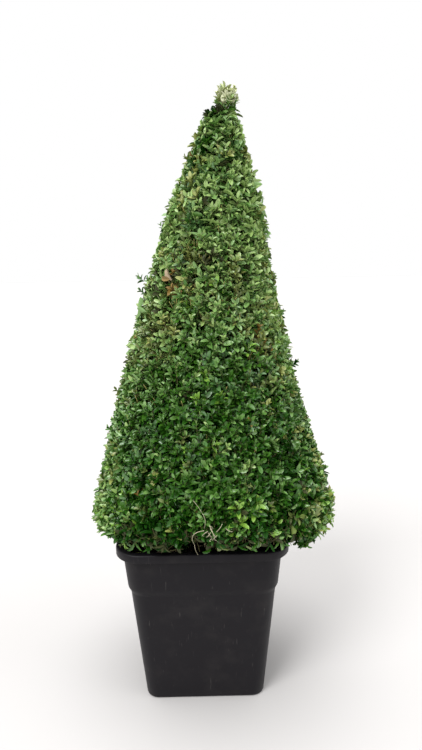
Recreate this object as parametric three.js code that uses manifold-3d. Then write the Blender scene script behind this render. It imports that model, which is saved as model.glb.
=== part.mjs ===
// Boxwood clipped to a cone, standing in its square black nursery pot.
// Millimetres. +Z is up, +X to the right and +Y away from someone who faces the plant.
// The origin is the middle of the pot's flat underside.

import * as THREE from "three";
import { mergeVertices } from "three/addons/utils/BufferGeometryUtils.js";
import Module from "manifold-3d";

const wasm = await Module();
wasm.setup();

const { cos, sin, PI, hypot, atan2, sqrt, exp } = Math;
const DEGREE = PI / 180;
const GOLDEN_TURN = PI * (3 - sqrt(5));

// Clearance left between pieces that touch on the real plant.
const GAP = 0.3;

// Pot: a tapered square tub with round corners, a stacking shoulder and a lip turned down.
const POT_HEIGHT = 294.6;
const POT_BASE_HALF = 102.5;
const POT_TAPER = 0.089;
const POT_WALL = 2.5;
const POT_BASE_CORNER = 22;
const POT_TOP_CORNER = 30;
const SHOULDER_LOW = 208;
const SHOULDER_HIGH = 222;
const SHOULDER_STEP = 3;
const RIM_HALF = 142;
const RIM_CORNER = 44;
const RIM_ROUND = 3.2;
const RIM_THICK = 3;
const LIP_DROP = 14;
const BASE_ROUND = 4;
const ROUND_MIDDLE = 0.3;
const MOUTH_STEP = 1;
const CORNER_POINTS = 7;

// Drainage: round holes through the floor and short notches in the foot of each side.
const DRAIN_RADIUS = 7;
const DRAIN_RING = 66;
const DRAIN_COUNT = 8;
const DRAIN_SIDES = 10;
const DRAIN_CUT = 10;
const NOTCH_WIDTH = 8;
const NOTCH_HEIGHT = 2.2;
const NOTCH_DEPTH = 8;
const NOTCH_OFFSETS = [-9, 7];

// Compost: it fills the pot to a little below the rim and is level round the stem.
const COMPOST_TOP = 268;
const COMPOST_EDGE = 262;
const COMPOST_LEVEL_RADIUS = 46;

// Trunk: a short stem with a root flare, leaning from the compost towards the crown's axis.
const TRUNK_FOOT = new THREE.Vector3(5, 3, COMPOST_TOP + GAP);
const TRUNK_TIP = new THREE.Vector3(17, 8, 334);
const TRUNK_RADIUS = 12;
const TRUNK_TIP_RADIUS = 8.5;
const FLARE = 9;
const FLARE_LENGTH = 0.2;
const FLARE_LOBES = 5;
const FLARE_LOBE_DEPTH = 0.16;
const TRUNK_SIDES = 15;
const TRUNK_STEPS = 8;

// Main boughs: they leave the trunk at its fork and end under the crown's core.
const FORK_SHARE = 0.42;
const BOUGH_RADIUS = 6.2;
const BOUGH_TIP_RADIUS = 4.2;
const BOUGH_ANGLES = { bough_left: 196, bough_back: 102, bough_front: 276 };
const BOUGH_REACH = 62;
const BOUGH_RISE = 64;
const BOUGH_BEND_OUT = 0.62;
const BOUGH_BEND_UP = 0.3;
const BOUGH_SIDES = 9;
const BOUGH_STEPS = 6;

// Low bough: it runs out over the rim, under the core, to the loose shoots at the lower right.
const LOW_FORK_DROP = 0.06;
const LOW_BOUGH_TIP_RADIUS = 3.6;
const LOW_BOUGH_TIP_INSET = 8;
const LOW_BOUGH_TIP_RISE = 34;
const LOW_BOUGH_BEND = 0.55;
const LOW_BOUGH_OVER_RIM = 17;

// Crown: the reach of its leaf tips from an axis that leans to the right as it rises.
const CROWN_LOW_Z = 290;
const CROWN_WIDE_Z = 330;
const CROWN_TOP_Z = 978;
const CROWN_LOW_REACH = 199;
const CROWN_WIDE_REACH = 208;
const CROWN_TOP_REACH = 26;
const CROWN_BELLY = 5;
const FRONT_LIFT = 36;
const AXIS_X = 16;
const AXIS_BEND = 30;
const AXIS_BEND_Z = 500;
const AXIS_Y = 8;
const TOP_SLANT = 0.3;
const POT_CLEARANCE = 2;
const TUFT_CLEARANCE = 1;

// Places where the clipped side stands fuller (positive) or slacker (negative) than the cone.
const SWELLS = [
  { z: 828, angle: -6, height: 9, spanZ: 55, spanAngle: 60 },
  { z: 832, angle: 180, height: 4, spanZ: 40, spanAngle: 50 },
  { z: 716, angle: 186, height: 10, spanZ: 11, spanAngle: 9 },
  { z: 540, angle: 0, height: -5, spanZ: 70, spanAngle: 50 },
  { z: 318, angle: 205, height: 5, spanZ: 26, spanAngle: 34 },
];

// Core of the crown: the dense inner growth that the shoots stand out of.
const CORE_INSET = 18;
const CORE_INSET_SHARE = 0.045;
const CORE_LIFT = 18;
const CORE_MIDDLE_Z = 342;
const CORE_SEGMENTS = 22;
const CORE_LEVELS = 11;
const CORE_TOP_DROP = 12;
const CORE_UNDER_RING = 0.55;

// Stem of the crown, from the trunk's tip up to the tuft.
const STEM_RADIUS = 7;
const STEM_TIP_RADIUS = 3;
const STEM_BENDS = [500, 750];
const STEM_SIDES = 6;
const STEM_STEPS = 6;

// Twigs of the crown: where they leave the stem, and how they spread over the clipped surface.
const TWIG_COUNT = 54;
const FLANK_SHARE = 0.8;
const FLANK_END_MARGIN = 8;
const FLANK_TURN_STRAY = 0.06;
const FLANK_LIFT = 0.5;
const SKIRT_RISE = 3;
const SKIRT_PLACE = [0.3, 0.7];
const SKIRT_LIFT = -0.8;
const TWIG_RADIUS = 2.6;
const TWIG_LEAST_REACH = 2;
const TWIG_LOWEST = 20;

// Shoots and leaves of the crown.
const FORKS = 2;
const FORK_START = 0.2;
const FORK_SPREAD_RANGE = [0.8, 1.2];
const SHOOT_LEAST_REACH = 4;
const SHOOT_RADIUS = 2.2;
const SHOOT_TAPER = 0.8;
const SHOOT_LENGTH = 30;
const SHOOT_DEPTH = 0.5;
const SHOOT_TIP_LIFT = 9;
const TWIG_CLIMB = 0.3;
const FORK_SPREAD = 48;
const FORK_STAGGER = 14;
const LEAF_LENGTH = 38;
const LEAF_LEAST = 13;
const LEAF_GROWTH = 0.3;
const LEAF_OPEN = [68 * DEGREE, 50 * DEGREE];
const LEAF_OPEN_RANGE = [0.88, 1.12];
const LEAF_SIZE_RANGE = [0.86, 1.1];
const LEAF_ROLL = 0.3;
const LEAF_WIDEST = 0.46;
const END_LEAF_SHARE = 0.42;
const PAIR_SPACING = 0.2;
const LEAF_WIDTH_SHARE = 0.5;
const LEAF_THICK_SHARE = 0.04;
const LEAF_FOLD_SHARE = 0.07;
const LEAF_SUNK = 2;
const CROWN_SEED = 42;

// Loose shoots that hang at the lower right, in front of the pot's corner.
const LOBE_ANGLE = -33;
const LOBE_HALF_ANGLE = 21;
const LOBE_INNER = 178;
const LOBE_OUTER = 217;
const LOBE_LOW_Z = 287;
const LOBE_TOP_Z = 366;
const LOBE_MARGIN = 4;
const LOBE_STALK_TIP_RADIUS = 2.4;
const LOBE_HEART_INSET = 6;
const LOBE_HEART_RISE = 46;
const LOBE_SHOOTS = 9;
const LOBE_SHOOT_TURN = 0.66;
const LOBE_SHOOT_START = 0.25;
const LOBE_END_MARGIN = 14;
const LOBE_TIP_INSETS = [19, 9];
const LOBE_LEAF_LENGTH = 30;
const LOBE_SEED = 7;

// Pale tuft of new growth on the tip.
const TUFT_FOOT_Z = 974;
const TUFT_TOP_Z = 1018;
const TUFT_REACH = 20;
const TUFT_SHIFT = 2;
const TUFT_STALK_RADIUS = 3;
const TUFT_STALK_TIP_RADIUS = 1.8;
const TUFT_STALK_DROP = 7.5;
const TUFT_SHOOT_STARTS = [0.1, 0.7];
const TUFT_SHOOT_ENDS = [0.25, 0.95];
const TUFT_INSET = 0.5;
const TUFT_SHOOT_OUT = 12;
const TUFT_SHOOTS = 8;
const TUFT_LEAF_LENGTH = 15;
const TUFT_SEED = 19;

const colours = {
  pot: 0x2b2a2d,
  compost: 0x35291f,
  bark: 0x7a6a54,
  crown: 0x3f6b34,
  lobe: 0x55803a,
  tuft: 0xb9c977,
};

function finish(color, roughness) {
  return new THREE.MeshStandardMaterial({ color, roughness, metalness: 0 });
}

// Booleans

function solidOf(geometry) {
  const bare = geometry.clone();
  bare.deleteAttribute("normal");
  bare.deleteAttribute("uv");
  const merged = mergeVertices(bare, 1e-4);
  const corners = merged.index.array;
  const kept = [];
  for (let at = 0; at < corners.length; at += 3) {
    const [a, b, c] = corners.slice(at, at + 3);
    if (a !== b && b !== c && c !== a) kept.push(a, b, c);
  }
  return new wasm.Manifold(
    new wasm.Mesh({
      numProp: 3,
      vertProperties: new Float32Array(merged.attributes.position.array),
      triVerts: new Uint32Array(kept),
    }),
  );
}

function geometryOf(solid) {
  const mesh = solid.getMesh();
  const geometry = new THREE.BufferGeometry();
  geometry.setAttribute("position", new THREE.BufferAttribute(mesh.vertProperties, 3));
  geometry.setIndex(new THREE.BufferAttribute(mesh.triVerts, 1));
  const flat = geometry.toNonIndexed();
  flat.computeVertexNormals();
  return flat;
}

// The largest body of a solid, without the scraps beside it or the hollows sealed in it.
function wholeBody(solid) {
  return solid.decompose().reduce((best, next) => (next.volume() > best.volume() ? next : best));
}

function fuse(solids) {
  return wholeBody(wasm.Manifold.union(solids));
}

// Shapes

// A turned profile of [half width, height, corner radius] rows, pulled out into a round-cornered square.
function squareTurned(profile) {
  const segments = 4 * CORNER_POINTS;
  const points = profile.map(([half, z]) => new THREE.Vector2(half, z));
  const geometry = new THREE.LatheGeometry(points, segments);
  const { position } = geometry.attributes;
  for (let index = 0; index < position.count; index += 1) {
    const [half, z, corner] = profile[index % profile.length];
    const segment = Math.floor(index / profile.length) % segments;
    const quarter = Math.floor(segment / CORNER_POINTS);
    const turn = (segment % CORNER_POINTS) / (CORNER_POINTS - 1);
    const angle = ((quarter + turn) * PI) / 2;
    const right = quarter === 0 || quarter === 3 ? half - corner : corner - half;
    const back = quarter < 2 ? half - corner : corner - half;
    position.setXYZ(index, right + corner * cos(angle), back + corner * sin(angle), z);
  }
  return geometry;
}

// A limb: a turned taper, bent along a path and closed at both ends.
function limb(path, radiusAt, sides, steps) {
  const profile = [new THREE.Vector2(0, 0)];
  for (let step = 0; step <= steps; step += 1) {
    profile.push(new THREE.Vector2(radiusAt(step / steps, 0), step / steps));
  }
  profile.push(new THREE.Vector2(0, 1));
  const geometry = new THREE.LatheGeometry(profile, sides);
  const frames = path.computeFrenetFrames(steps, false);
  const { position } = geometry.attributes;
  for (let index = 0; index < position.count; index += 1) {
    const share = position.getY(index);
    const segment = Math.floor(index / profile.length) % sides;
    const angle = (segment / sides) * 2 * PI;
    const onAxis = index % profile.length === 0 || index % profile.length === profile.length - 1;
    const radius = onAxis ? 0 : radiusAt(share, angle);
    const step = Math.round(share * steps);
    const point = path
      .getPoint(share)
      .addScaledVector(frames.binormals[step], radius * sin(angle))
      .addScaledVector(frames.normals[step], radius * cos(angle));
    position.setXYZ(index, point.x, point.y, point.z);
  }
  return geometry;
}

// A straight three-sided twig from one point to another.
function twig(from, to, radius, tipRadius) {
  const along = to.clone().sub(from);
  const geometry = new THREE.CylinderGeometry(tipRadius, radius, along.length(), 3);
  geometry.translate(0, along.length() / 2, 0);
  const up = new THREE.Vector3(0, 1, 0);
  geometry.applyQuaternion(new THREE.Quaternion().setFromUnitVectors(up, along.clone().normalize()));
  geometry.translate(from.x, from.y, from.z);
  return geometry;
}

// Where a leaf's root, tip and edges lie, from its root, its direction and the way its face looks.
function leafFrame(root, along, face, length) {
  const across = new THREE.Vector3().crossVectors(face, along).normalize();
  const normal = new THREE.Vector3().crossVectors(along, across);
  const middle = root.clone().addScaledVector(along, length * LEAF_WIDEST);
  const half = (length * LEAF_WIDTH_SHARE) / 2;
  return {
    root,
    along,
    across,
    normal,
    length,
    tip: root.clone().addScaledVector(along, length),
    edges: [middle.clone().addScaledVector(across, half), middle.clone().addScaledVector(across, -half)],
  };
}

// A leaf of eight faces, widest near its middle and folded a little along its midrib.
function leaf(frame) {
  const { root, along, across, normal, length } = frame;
  const geometry = new THREE.OctahedronGeometry(1);
  const { position } = geometry.attributes;
  for (let index = 0; index < position.count; index += 1) {
    const end = position.getX(index);
    const side = position.getY(index);
    const up = position.getZ(index);
    const run = end === 0 ? LEAF_WIDEST : (end + 1) / 2;
    const lift = up * (LEAF_THICK_SHARE / 2) + Math.abs(side) * LEAF_FOLD_SHARE;
    const point = root
      .clone()
      .addScaledVector(along, length * run)
      .addScaledVector(across, length * side * (LEAF_WIDTH_SHARE / 2))
      .addScaledVector(normal, length * lift);
    position.setXYZ(index, point.x, point.y, point.z);
  }
  return geometry;
}

// Chance: one seeded stream for each mass of foliage.
function chance(seed) {
  let state = seed;
  return () => {
    state = (state + 0x6d2b79f5) | 0;
    let mix = Math.imul(state ^ (state >>> 15), 1 | state);
    mix = (mix + Math.imul(mix ^ (mix >>> 7), 61 | mix)) ^ mix;
    return ((mix ^ (mix >>> 14)) >>> 0) / 4294967296;
  };
}

function mix([first, last], share) {
  return first + (last - first) * share;
}

function between(random, low, high) {
  return low + (high - low) * random();
}

function smooth(value) {
  const share = Math.min(Math.max(value, 0), 1);
  return share * share * (3 - 2 * share);
}

function turned(angle, from) {
  return Math.abs(atan2(sin(angle - from), cos(angle - from)));
}

// Pot and compost

function potHalf(z) {
  const step = SHOULDER_STEP * smooth((z - SHOULDER_LOW) / (SHOULDER_HIGH - SHOULDER_LOW));
  return POT_BASE_HALF + POT_TAPER * z + step;
}

function potCorner(z) {
  return POT_BASE_CORNER + ((POT_TOP_CORNER - POT_BASE_CORNER) * z) / POT_HEIGHT;
}

function rimRow(half, z) {
  return [half, z, RIM_CORNER - (RIM_HALF - half)];
}

const POT_LEVELS = [
  SHOULDER_LOW,
  (SHOULDER_LOW + SHOULDER_HIGH) / 2,
  SHOULDER_HIGH,
  POT_HEIGHT - LIP_DROP,
];

function potBody() {
  const lipLow = POT_HEIGHT - LIP_DROP;
  const lipRoof = POT_HEIGHT - RIM_THICK;
  const foot = potHalf(0) - BASE_ROUND;
  const eased = BASE_ROUND * ROUND_MIDDLE;
  const mouth = POT_WALL - MOUTH_STEP;
  const outer = [BASE_ROUND, ...POT_LEVELS].map((z) => [potHalf(z), z, potCorner(z)]);
  const inner = [POT_WALL, ...POT_LEVELS]
    .reverse()
    .map((z) => [potHalf(z) - POT_WALL, z, potCorner(z) - POT_WALL]);
  const profile = [
    [0, 0, 0],
    [foot, 0, POT_BASE_CORNER - BASE_ROUND],
    [potHalf(0) - eased, eased, POT_BASE_CORNER - eased],
    ...outer,
    [potHalf(lipRoof), lipRoof, potCorner(lipRoof)],
    rimRow(RIM_HALF - POT_WALL, lipRoof),
    rimRow(RIM_HALF - POT_WALL, lipLow),
    rimRow(RIM_HALF, lipLow),
    rimRow(RIM_HALF, POT_HEIGHT - RIM_ROUND),
    rimRow(RIM_HALF - RIM_ROUND * ROUND_MIDDLE, POT_HEIGHT - RIM_ROUND * ROUND_MIDDLE),
    rimRow(RIM_HALF - RIM_ROUND, POT_HEIGHT),
    [potHalf(POT_HEIGHT) - mouth, POT_HEIGHT, potCorner(POT_HEIGHT) - mouth],
    ...inner,
    [0, POT_WALL, 0],
  ];
  return solidOf(squareTurned(profile));
}

function drainHoles() {
  const holes = [];
  for (let hole = 0; hole < DRAIN_COUNT; hole += 1) {
    const angle = ((hole + 0.5) / DRAIN_COUNT) * 2 * PI;
    const geometry = new THREE.CylinderGeometry(DRAIN_RADIUS, DRAIN_RADIUS, DRAIN_CUT, DRAIN_SIDES);
    geometry.rotateX(PI / 2);
    geometry.translate(DRAIN_RING * cos(angle), DRAIN_RING * sin(angle), 0);
    holes.push(solidOf(geometry));
  }
  return holes;
}

function footNotches() {
  const notches = [];
  for (let side = 0; side < 4; side += 1) {
    for (const offset of NOTCH_OFFSETS) {
      const geometry = new THREE.BoxGeometry(NOTCH_WIDTH, 2 * NOTCH_DEPTH, 2 * NOTCH_HEIGHT);
      geometry.translate(offset, -POT_BASE_HALF, 0);
      geometry.rotateZ((side * PI) / 2);
      notches.push(solidOf(geometry));
    }
  }
  return notches;
}

function makePot() {
  return [...drainHoles(), ...footNotches()].reduce((pot, cut) => pot.subtract(cut), potBody());
}

function makeCompost() {
  const inside = POT_WALL + GAP;
  const wall = (z) => [potHalf(z) - inside, z, potCorner(z) - inside];
  const profile = [
    [0, POT_WALL + GAP, 0],
    wall(POT_WALL + GAP),
    ...[...POT_LEVELS.slice(0, 3), COMPOST_EDGE].map(wall),
    [COMPOST_LEVEL_RADIUS, COMPOST_TOP, COMPOST_LEVEL_RADIUS],
    [0, COMPOST_TOP, 0],
  ];
  return solidOf(squareTurned(profile));
}

// Trunk and boughs

const trunkBend = new THREE.Vector3(TRUNK_FOOT.x, TRUNK_FOOT.y, (TRUNK_FOOT.z + TRUNK_TIP.z) / 2);
const trunkPath = new THREE.QuadraticBezierCurve3(TRUNK_FOOT, trunkBend, TRUNK_TIP);

// The same path, carried a little further past its tip.
function longer(path, extra) {
  const tip = path.v2.clone().addScaledVector(path.getTangent(1), extra);
  return new THREE.QuadraticBezierCurve3(path.v0, path.v1, tip);
}

function trunkRadius(share, angle) {
  const taper = TRUNK_RADIUS + (TRUNK_TIP_RADIUS - TRUNK_RADIUS) * share;
  const flare = FLARE * exp(-share / FLARE_LENGTH);
  const lobes = 1 + FLARE_LOBE_DEPTH * cos(FLARE_LOBES * angle) * (1 - share) ** 2;
  return (taper + flare) * lobes;
}

function makeTrunk(grow) {
  const swollen = (share, angle) => trunkRadius(share, angle) + grow;
  return solidOf(limb(longer(trunkPath, grow), swollen, TRUNK_SIDES, TRUNK_STEPS));
}

function boughPath(angle) {
  const fork = trunkPath.getPoint(FORK_SHARE);
  const out = new THREE.Vector3(cos(angle), sin(angle), 0);
  const tip = fork.clone().addScaledVector(out, BOUGH_REACH);
  tip.z += BOUGH_RISE;
  const bend = fork.clone().addScaledVector(out, BOUGH_REACH * BOUGH_BEND_OUT);
  bend.z += BOUGH_RISE * BOUGH_BEND_UP;
  return new THREE.QuadraticBezierCurve3(fork, bend, tip);
}

function lowBoughPath() {
  const fork = trunkPath.getPoint(FORK_SHARE - LOW_FORK_DROP);
  const height = LOBE_LOW_Z + LOW_BOUGH_TIP_RISE;
  const tip = atAxis(height, LOBE_ANGLE * DEGREE, LOBE_INNER - LOW_BOUGH_TIP_INSET);
  const bend = fork.clone().lerp(tip, LOW_BOUGH_BEND);
  bend.z = POT_HEIGHT + LOW_BOUGH_OVER_RIM;
  return new THREE.QuadraticBezierCurve3(fork, bend, tip);
}

function boughSolid(path, tipRadius, grow) {
  const radiusAt = (share) => BOUGH_RADIUS + (tipRadius - BOUGH_RADIUS) * share + grow;
  return solidOf(limb(longer(path, grow), radiusAt, BOUGH_SIDES, BOUGH_STEPS));
}

// The boughs, cut clear of the trunk at one end and of the crown's core at the other.
function makeBoughs() {
  const rest = wasm.Manifold.union([makeTrunk(GAP), makeCore(GAP)]);
  const boughs = {};
  for (const [name, degrees] of Object.entries(BOUGH_ANGLES)) {
    const whole = boughSolid(boughPath(degrees * DEGREE), BOUGH_TIP_RADIUS, 0);
    boughs[name] = wholeBody(whole.subtract(rest));
  }
  const low = boughSolid(lowBoughPath(), LOW_BOUGH_TIP_RADIUS, 0);
  boughs.bough_low_right = wholeBody(low.subtract(rest));
  return boughs;
}

// Crown

function axisX(z) {
  return AXIS_X + AXIS_BEND * ((z - AXIS_BEND_Z) / AXIS_BEND_Z) ** 2;
}

function swell(z, angle) {
  return SWELLS.reduce((total, place) => {
    const rise = (z - place.z) / place.spanZ;
    const turn = turned(angle, place.angle * DEGREE) / (place.spanAngle * DEGREE);
    return total + place.height * exp(-rise * rise - turn * turn);
  }, 0);
}

// How far the leaf tips reach from the axis, at a height and in a direction.
function reach(z, angle) {
  const share = Math.min(Math.max((z - CROWN_WIDE_Z) / (CROWN_TOP_Z - CROWN_WIDE_Z), 0), 1);
  const side = CROWN_WIDE_REACH + (CROWN_TOP_REACH - CROWN_WIDE_REACH) * share;
  const tuck = Math.max((CROWN_WIDE_Z - z) / (CROWN_WIDE_Z - CROWN_LOW_Z), 0);
  const skirt = (CROWN_WIDE_REACH - CROWN_LOW_REACH) * tuck * tuck;
  return side + CROWN_BELLY * sin(PI * share) - skirt + swell(z, angle);
}

// The lower edge of the foliage, which lifts at the front and leaves the rim in view.
function lowEdge(angle) {
  const front = Math.max(-sin(angle), 0);
  return CROWN_LOW_Z + FRONT_LIFT * front * front;
}

// The clipped top slopes down to the left.
function topEdge(x) {
  return CROWN_TOP_Z + TOP_SLANT * (x - axisX(CROWN_TOP_Z));
}

function atAxis(z, angle, radius) {
  return new THREE.Vector3(axisX(z) + radius * cos(angle), AXIS_Y + radius * sin(angle), z);
}

function polar(point) {
  const x = point.x - axisX(point.z);
  const y = point.y - AXIS_Y;
  return { radius: hypot(x, y), angle: atan2(y, x) };
}

function coreInset(radius) {
  return CORE_INSET + CORE_INSET_SHARE * radius;
}

function inLobe(point, margin) {
  const { radius, angle } = polar(point);
  const turn = turned(angle, LOBE_ANGLE * DEGREE);
  return (
    turn < LOBE_HALF_ANGLE * DEGREE + margin / LOBE_INNER &&
    radius > LOBE_INNER - margin &&
    radius < LOBE_OUTER + margin &&
    point.z > LOBE_LOW_Z - margin &&
    point.z < LOBE_TOP_Z + margin
  );
}

function inTuft(point, margin) {
  const out = hypot(point.x - axisX(CROWN_TOP_Z) - TUFT_SHIFT, point.y - AXIS_Y);
  return out < TUFT_REACH + margin && point.z > TUFT_FOOT_Z - margin && point.z < TUFT_TOP_Z;
}

function overPot(point) {
  const half = RIM_HALF + POT_CLEARANCE;
  return Math.abs(point.x) < half && Math.abs(point.y) < half;
}

function inCrown(point) {
  const { radius, angle } = polar(point);
  return (
    radius <= reach(point.z, angle) &&
    point.z >= lowEdge(angle) &&
    point.z <= topEdge(point.x) &&
    !(overPot(point) && point.z < POT_HEIGHT + POT_CLEARANCE) &&
    !inLobe(point, LOBE_MARGIN) &&
    !inTuft(point, TUFT_CLEARANCE)
  );
}

function makeCore(grow) {
  const profile = [new THREE.Vector2(0, 0), new THREE.Vector2(CORE_UNDER_RING, 0), new THREE.Vector2(1, 0)];
  for (let level = 1; level <= CORE_LEVELS; level += 1) {
    profile.push(new THREE.Vector2(1, level / CORE_LEVELS));
  }
  profile.push(new THREE.Vector2(0, 1));
  const geometry = new THREE.LatheGeometry(profile, CORE_SEGMENTS);
  const { position } = geometry.attributes;
  for (let index = 0; index < position.count; index += 1) {
    const row = index % profile.length;
    const segment = Math.floor(index / profile.length) % CORE_SEGMENTS;
    const angle = (segment / CORE_SEGMENTS) * 2 * PI;
    const edge = lowEdge(angle) + CORE_LIFT;
    const top = CROWN_TOP_Z - CORE_TOP_DROP;
    const rise = profile[row].y;
    const share = profile[row].x;
    const z = edge + (top - edge) * rise;
    const full = reach(z, angle);
    const radius = (full - coreInset(full)) * share;
    const under = rise === 0 ? (CORE_MIDDLE_Z - edge) * (1 - share * share) - grow : 0;
    const point = atAxis(z, angle, radius + (share > 0 ? grow : 0));
    position.setXYZ(index, point.x, point.y, point.z + under);
  }
  return solidOf(geometry);
}

// The space of the loose shoots, taken out of the core.
function lobeRoom() {
  const near = LOBE_INNER * cos(LOBE_HALF_ANGLE * DEGREE) - LOBE_MARGIN;
  const width = 2 * LOBE_OUTER * sin(LOBE_HALF_ANGLE * DEGREE) + 2 * LOBE_MARGIN;
  const height = LOBE_TOP_Z - LOBE_LOW_Z + 2 * LOBE_MARGIN;
  const geometry = new THREE.BoxGeometry(LOBE_OUTER - near, width, height);
  geometry.translate((near + LOBE_OUTER) / 2, 0, (LOBE_LOW_Z + LOBE_TOP_Z) / 2);
  geometry.rotateZ(LOBE_ANGLE * DEGREE);
  geometry.translate(axisX(LOBE_TOP_Z), AXIS_Y, 0);
  return solidOf(geometry);
}

// The leaves of a shoot: two crossed pairs that face along it, and a small one on its end.
function leafPlan(along, random) {
  const helper = Math.abs(along.z) < 0.9 ? new THREE.Vector3(0, 0, 1) : new THREE.Vector3(1, 0, 0);
  const across = new THREE.Vector3().crossVectors(along, helper).normalize();
  across.applyAxisAngle(along, between(random, 0, PI));
  const plan = [0, 1, 2, 3].map((quarter) => {
    const roll = (quarter * PI) / 2 + between(random, -LEAF_ROLL, LEAF_ROLL);
    const out = across.clone().applyAxisAngle(along, roll);
    const open = LEAF_OPEN[quarter % 2] * between(random, ...LEAF_OPEN_RANGE);
    const direction = along.clone().multiplyScalar(cos(open)).addScaledVector(out, sin(open));
    const back = quarter % 2 === 0 ? PAIR_SPACING : 0;
    const share = between(random, ...LEAF_SIZE_RANGE);
    return { direction: direction.normalize(), face: along, share, back };
  });
  plan.push({ direction: along, face: across, share: END_LEAF_SHARE, back: 0 });
  return plan;
}

// Grows one shoot with its leaves, and returns its solids, or nothing where it has no room.
// A leaf is left out where it would leave the mass's space or touch one of the neighbours.
function growShoot(from, to, leafLength, random, inSpace, neighbours) {
  const stalk = solidOf(twig(from, to, SHOOT_RADIUS, SHOOT_RADIUS * SHOOT_TAPER));
  if (!neighbours.intersect(stalk).isEmpty()) return [];
  const along = to.clone().sub(from).normalize();
  const solids = [];
  for (const { direction, face, share, back } of leafPlan(along, random)) {
    const start = to.clone().addScaledVector(along, -LEAF_SUNK - back * leafLength);
    const frame = leafFrame(start, direction, face, leafLength * share);
    const blade = solidOf(leaf(frame));
    const fits = [frame.tip, ...frame.edges].every(inSpace);
    if (fits && neighbours.intersect(blade).isEmpty()) solids.push(blade);
  }
  return solids.length > 0 ? [stalk, ...solids] : [];
}

// Where the twigs come through the clipped surface: evenly by area, turning by the golden angle.
function twigPlaces(random) {
  const places = [];
  const flank = Math.round(TWIG_COUNT * FLANK_SHARE);
  for (let index = 0; index < flank; index += 1) {
    const share = (index + 0.5) / flank;
    const wide = CROWN_WIDE_REACH ** 2;
    const top = CROWN_TOP_REACH ** 2;
    const radius = sqrt(top + (wide - top) * share);
    const down = (radius - CROWN_TOP_REACH) / (CROWN_WIDE_REACH - CROWN_TOP_REACH);
    const highest = CROWN_TOP_Z - FLANK_END_MARGIN;
    const z = highest + (CROWN_WIDE_Z - highest) * down;
    const stray = between(random, -FLANK_TURN_STRAY, FLANK_TURN_STRAY);
    places.push({ z, angle: index * GOLDEN_TURN + stray, lift: FLANK_LIFT });
  }
  const skirt = TWIG_COUNT - flank;
  for (let index = 0; index < skirt; index += 1) {
    const angle = ((index + between(random, ...SKIRT_PLACE)) / skirt) * 2 * PI;
    places.push({ z: lowEdge(angle) + CORE_LIFT + SKIRT_RISE, angle, lift: SKIRT_LIFT });
  }
  return places;
}

// Each twig leaves the stem, forks inside the core and comes out of it as leafy shoots.
function crownShoots(neighbours) {
  const random = chance(CROWN_SEED);
  const solids = [];
  for (const { z, angle, lift } of twigPlaces(random)) {
    const full = reach(z, angle);
    const inner = Math.max(full - coreInset(full) - SHOOT_LENGTH, TWIG_LEAST_REACH);
    const knee = atAxis(z, angle, inner);
    const stem = atAxis(Math.max(z - inner * TWIG_CLIMB, CORE_MIDDLE_Z + TWIG_LOWEST), angle, 0);
    const leafLength = Math.min(LEAF_LENGTH, LEAF_LEAST + full * LEAF_GROWTH);
    const shoots = [];
    for (let fork = 0; fork < FORKS; fork += 1) {
      const open = (fork - (FORKS - 1) / 2) * FORK_SPREAD * between(random, ...FORK_SPREAD_RANGE);
      const turn = angle + open / Math.max(full, FORK_SPREAD);
      const height = z + between(random, -FORK_STAGGER, FORK_STAGGER);
      const out = Math.max(reach(height, turn) - leafLength * SHOOT_DEPTH, SHOOT_LEAST_REACH);
      const end = atAxis(height, turn, out);
      end.z += lift * SHOOT_TIP_LIFT;
      const start = knee.clone().lerp(end, FORK_START);
      shoots.push(...growShoot(start, end, leafLength, random, inCrown, neighbours));
    }
    if (shoots.length > 0) {
      solids.push(solidOf(twig(stem, knee, TWIG_RADIUS, TWIG_RADIUS)), ...shoots);
    }
  }
  return solids;
}

function crownStemPath() {
  const foot = longer(trunkPath, GAP).v2;
  const bends = [...STEM_BENDS, TUFT_FOOT_Z - GAP].map((z) => atAxis(z, 0, 0));
  return new THREE.CatmullRomCurve3([foot, ...bends]);
}

function makeCrown(neighbours) {
  const radiusAt = (share) => STEM_RADIUS + (STEM_TIP_RADIUS - STEM_RADIUS) * share;
  const stem = limb(crownStemPath(), radiusAt, STEM_SIDES, STEM_STEPS);
  const stemSolid = solidOf(stem).subtract(makeTrunk(GAP));
  return fuse([makeCore(0).subtract(lobeRoom()), stemSolid, ...crownShoots(neighbours)]);
}

// Loose shoots and tuft

function makeLobe() {
  const random = chance(LOBE_SEED);
  const tip = lowBoughPath().v2;
  const middle = (LOBE_INNER + LOBE_OUTER) / 2 - LOBE_HEART_INSET;
  const heart = atAxis(LOBE_LOW_Z + LOBE_HEART_RISE, LOBE_ANGLE * DEGREE, middle);
  const solids = [solidOf(twig(tip, heart, LOW_BOUGH_TIP_RADIUS, LOBE_STALK_TIP_RADIUS))];
  const bough = boughSolid(lowBoughPath(), LOW_BOUGH_TIP_RADIUS, GAP);
  const inSpace = (point) => inLobe(point, 0);
  for (let index = 0; index < LOBE_SHOOTS; index += 1) {
    const share = (index + 0.5) / LOBE_SHOOTS;
    const side = sin(index * GOLDEN_TURN) * LOBE_HALF_ANGLE * LOBE_SHOOT_TURN * DEGREE;
    const z = LOBE_LOW_Z + LOBE_END_MARGIN + (LOBE_TOP_Z - LOBE_LOW_Z - 2 * LOBE_END_MARGIN) * share;
    const radius = LOBE_OUTER - between(random, ...LOBE_TIP_INSETS);
    const end = atAxis(z, LOBE_ANGLE * DEGREE + side, radius);
    const start = heart.clone().lerp(tip, LOBE_SHOOT_START * random());
    solids.push(...growShoot(start, end, LOBE_LEAF_LENGTH, random, inSpace, bough));
  }
  return wholeBody(fuse(solids).subtract(bough));
}

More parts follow.
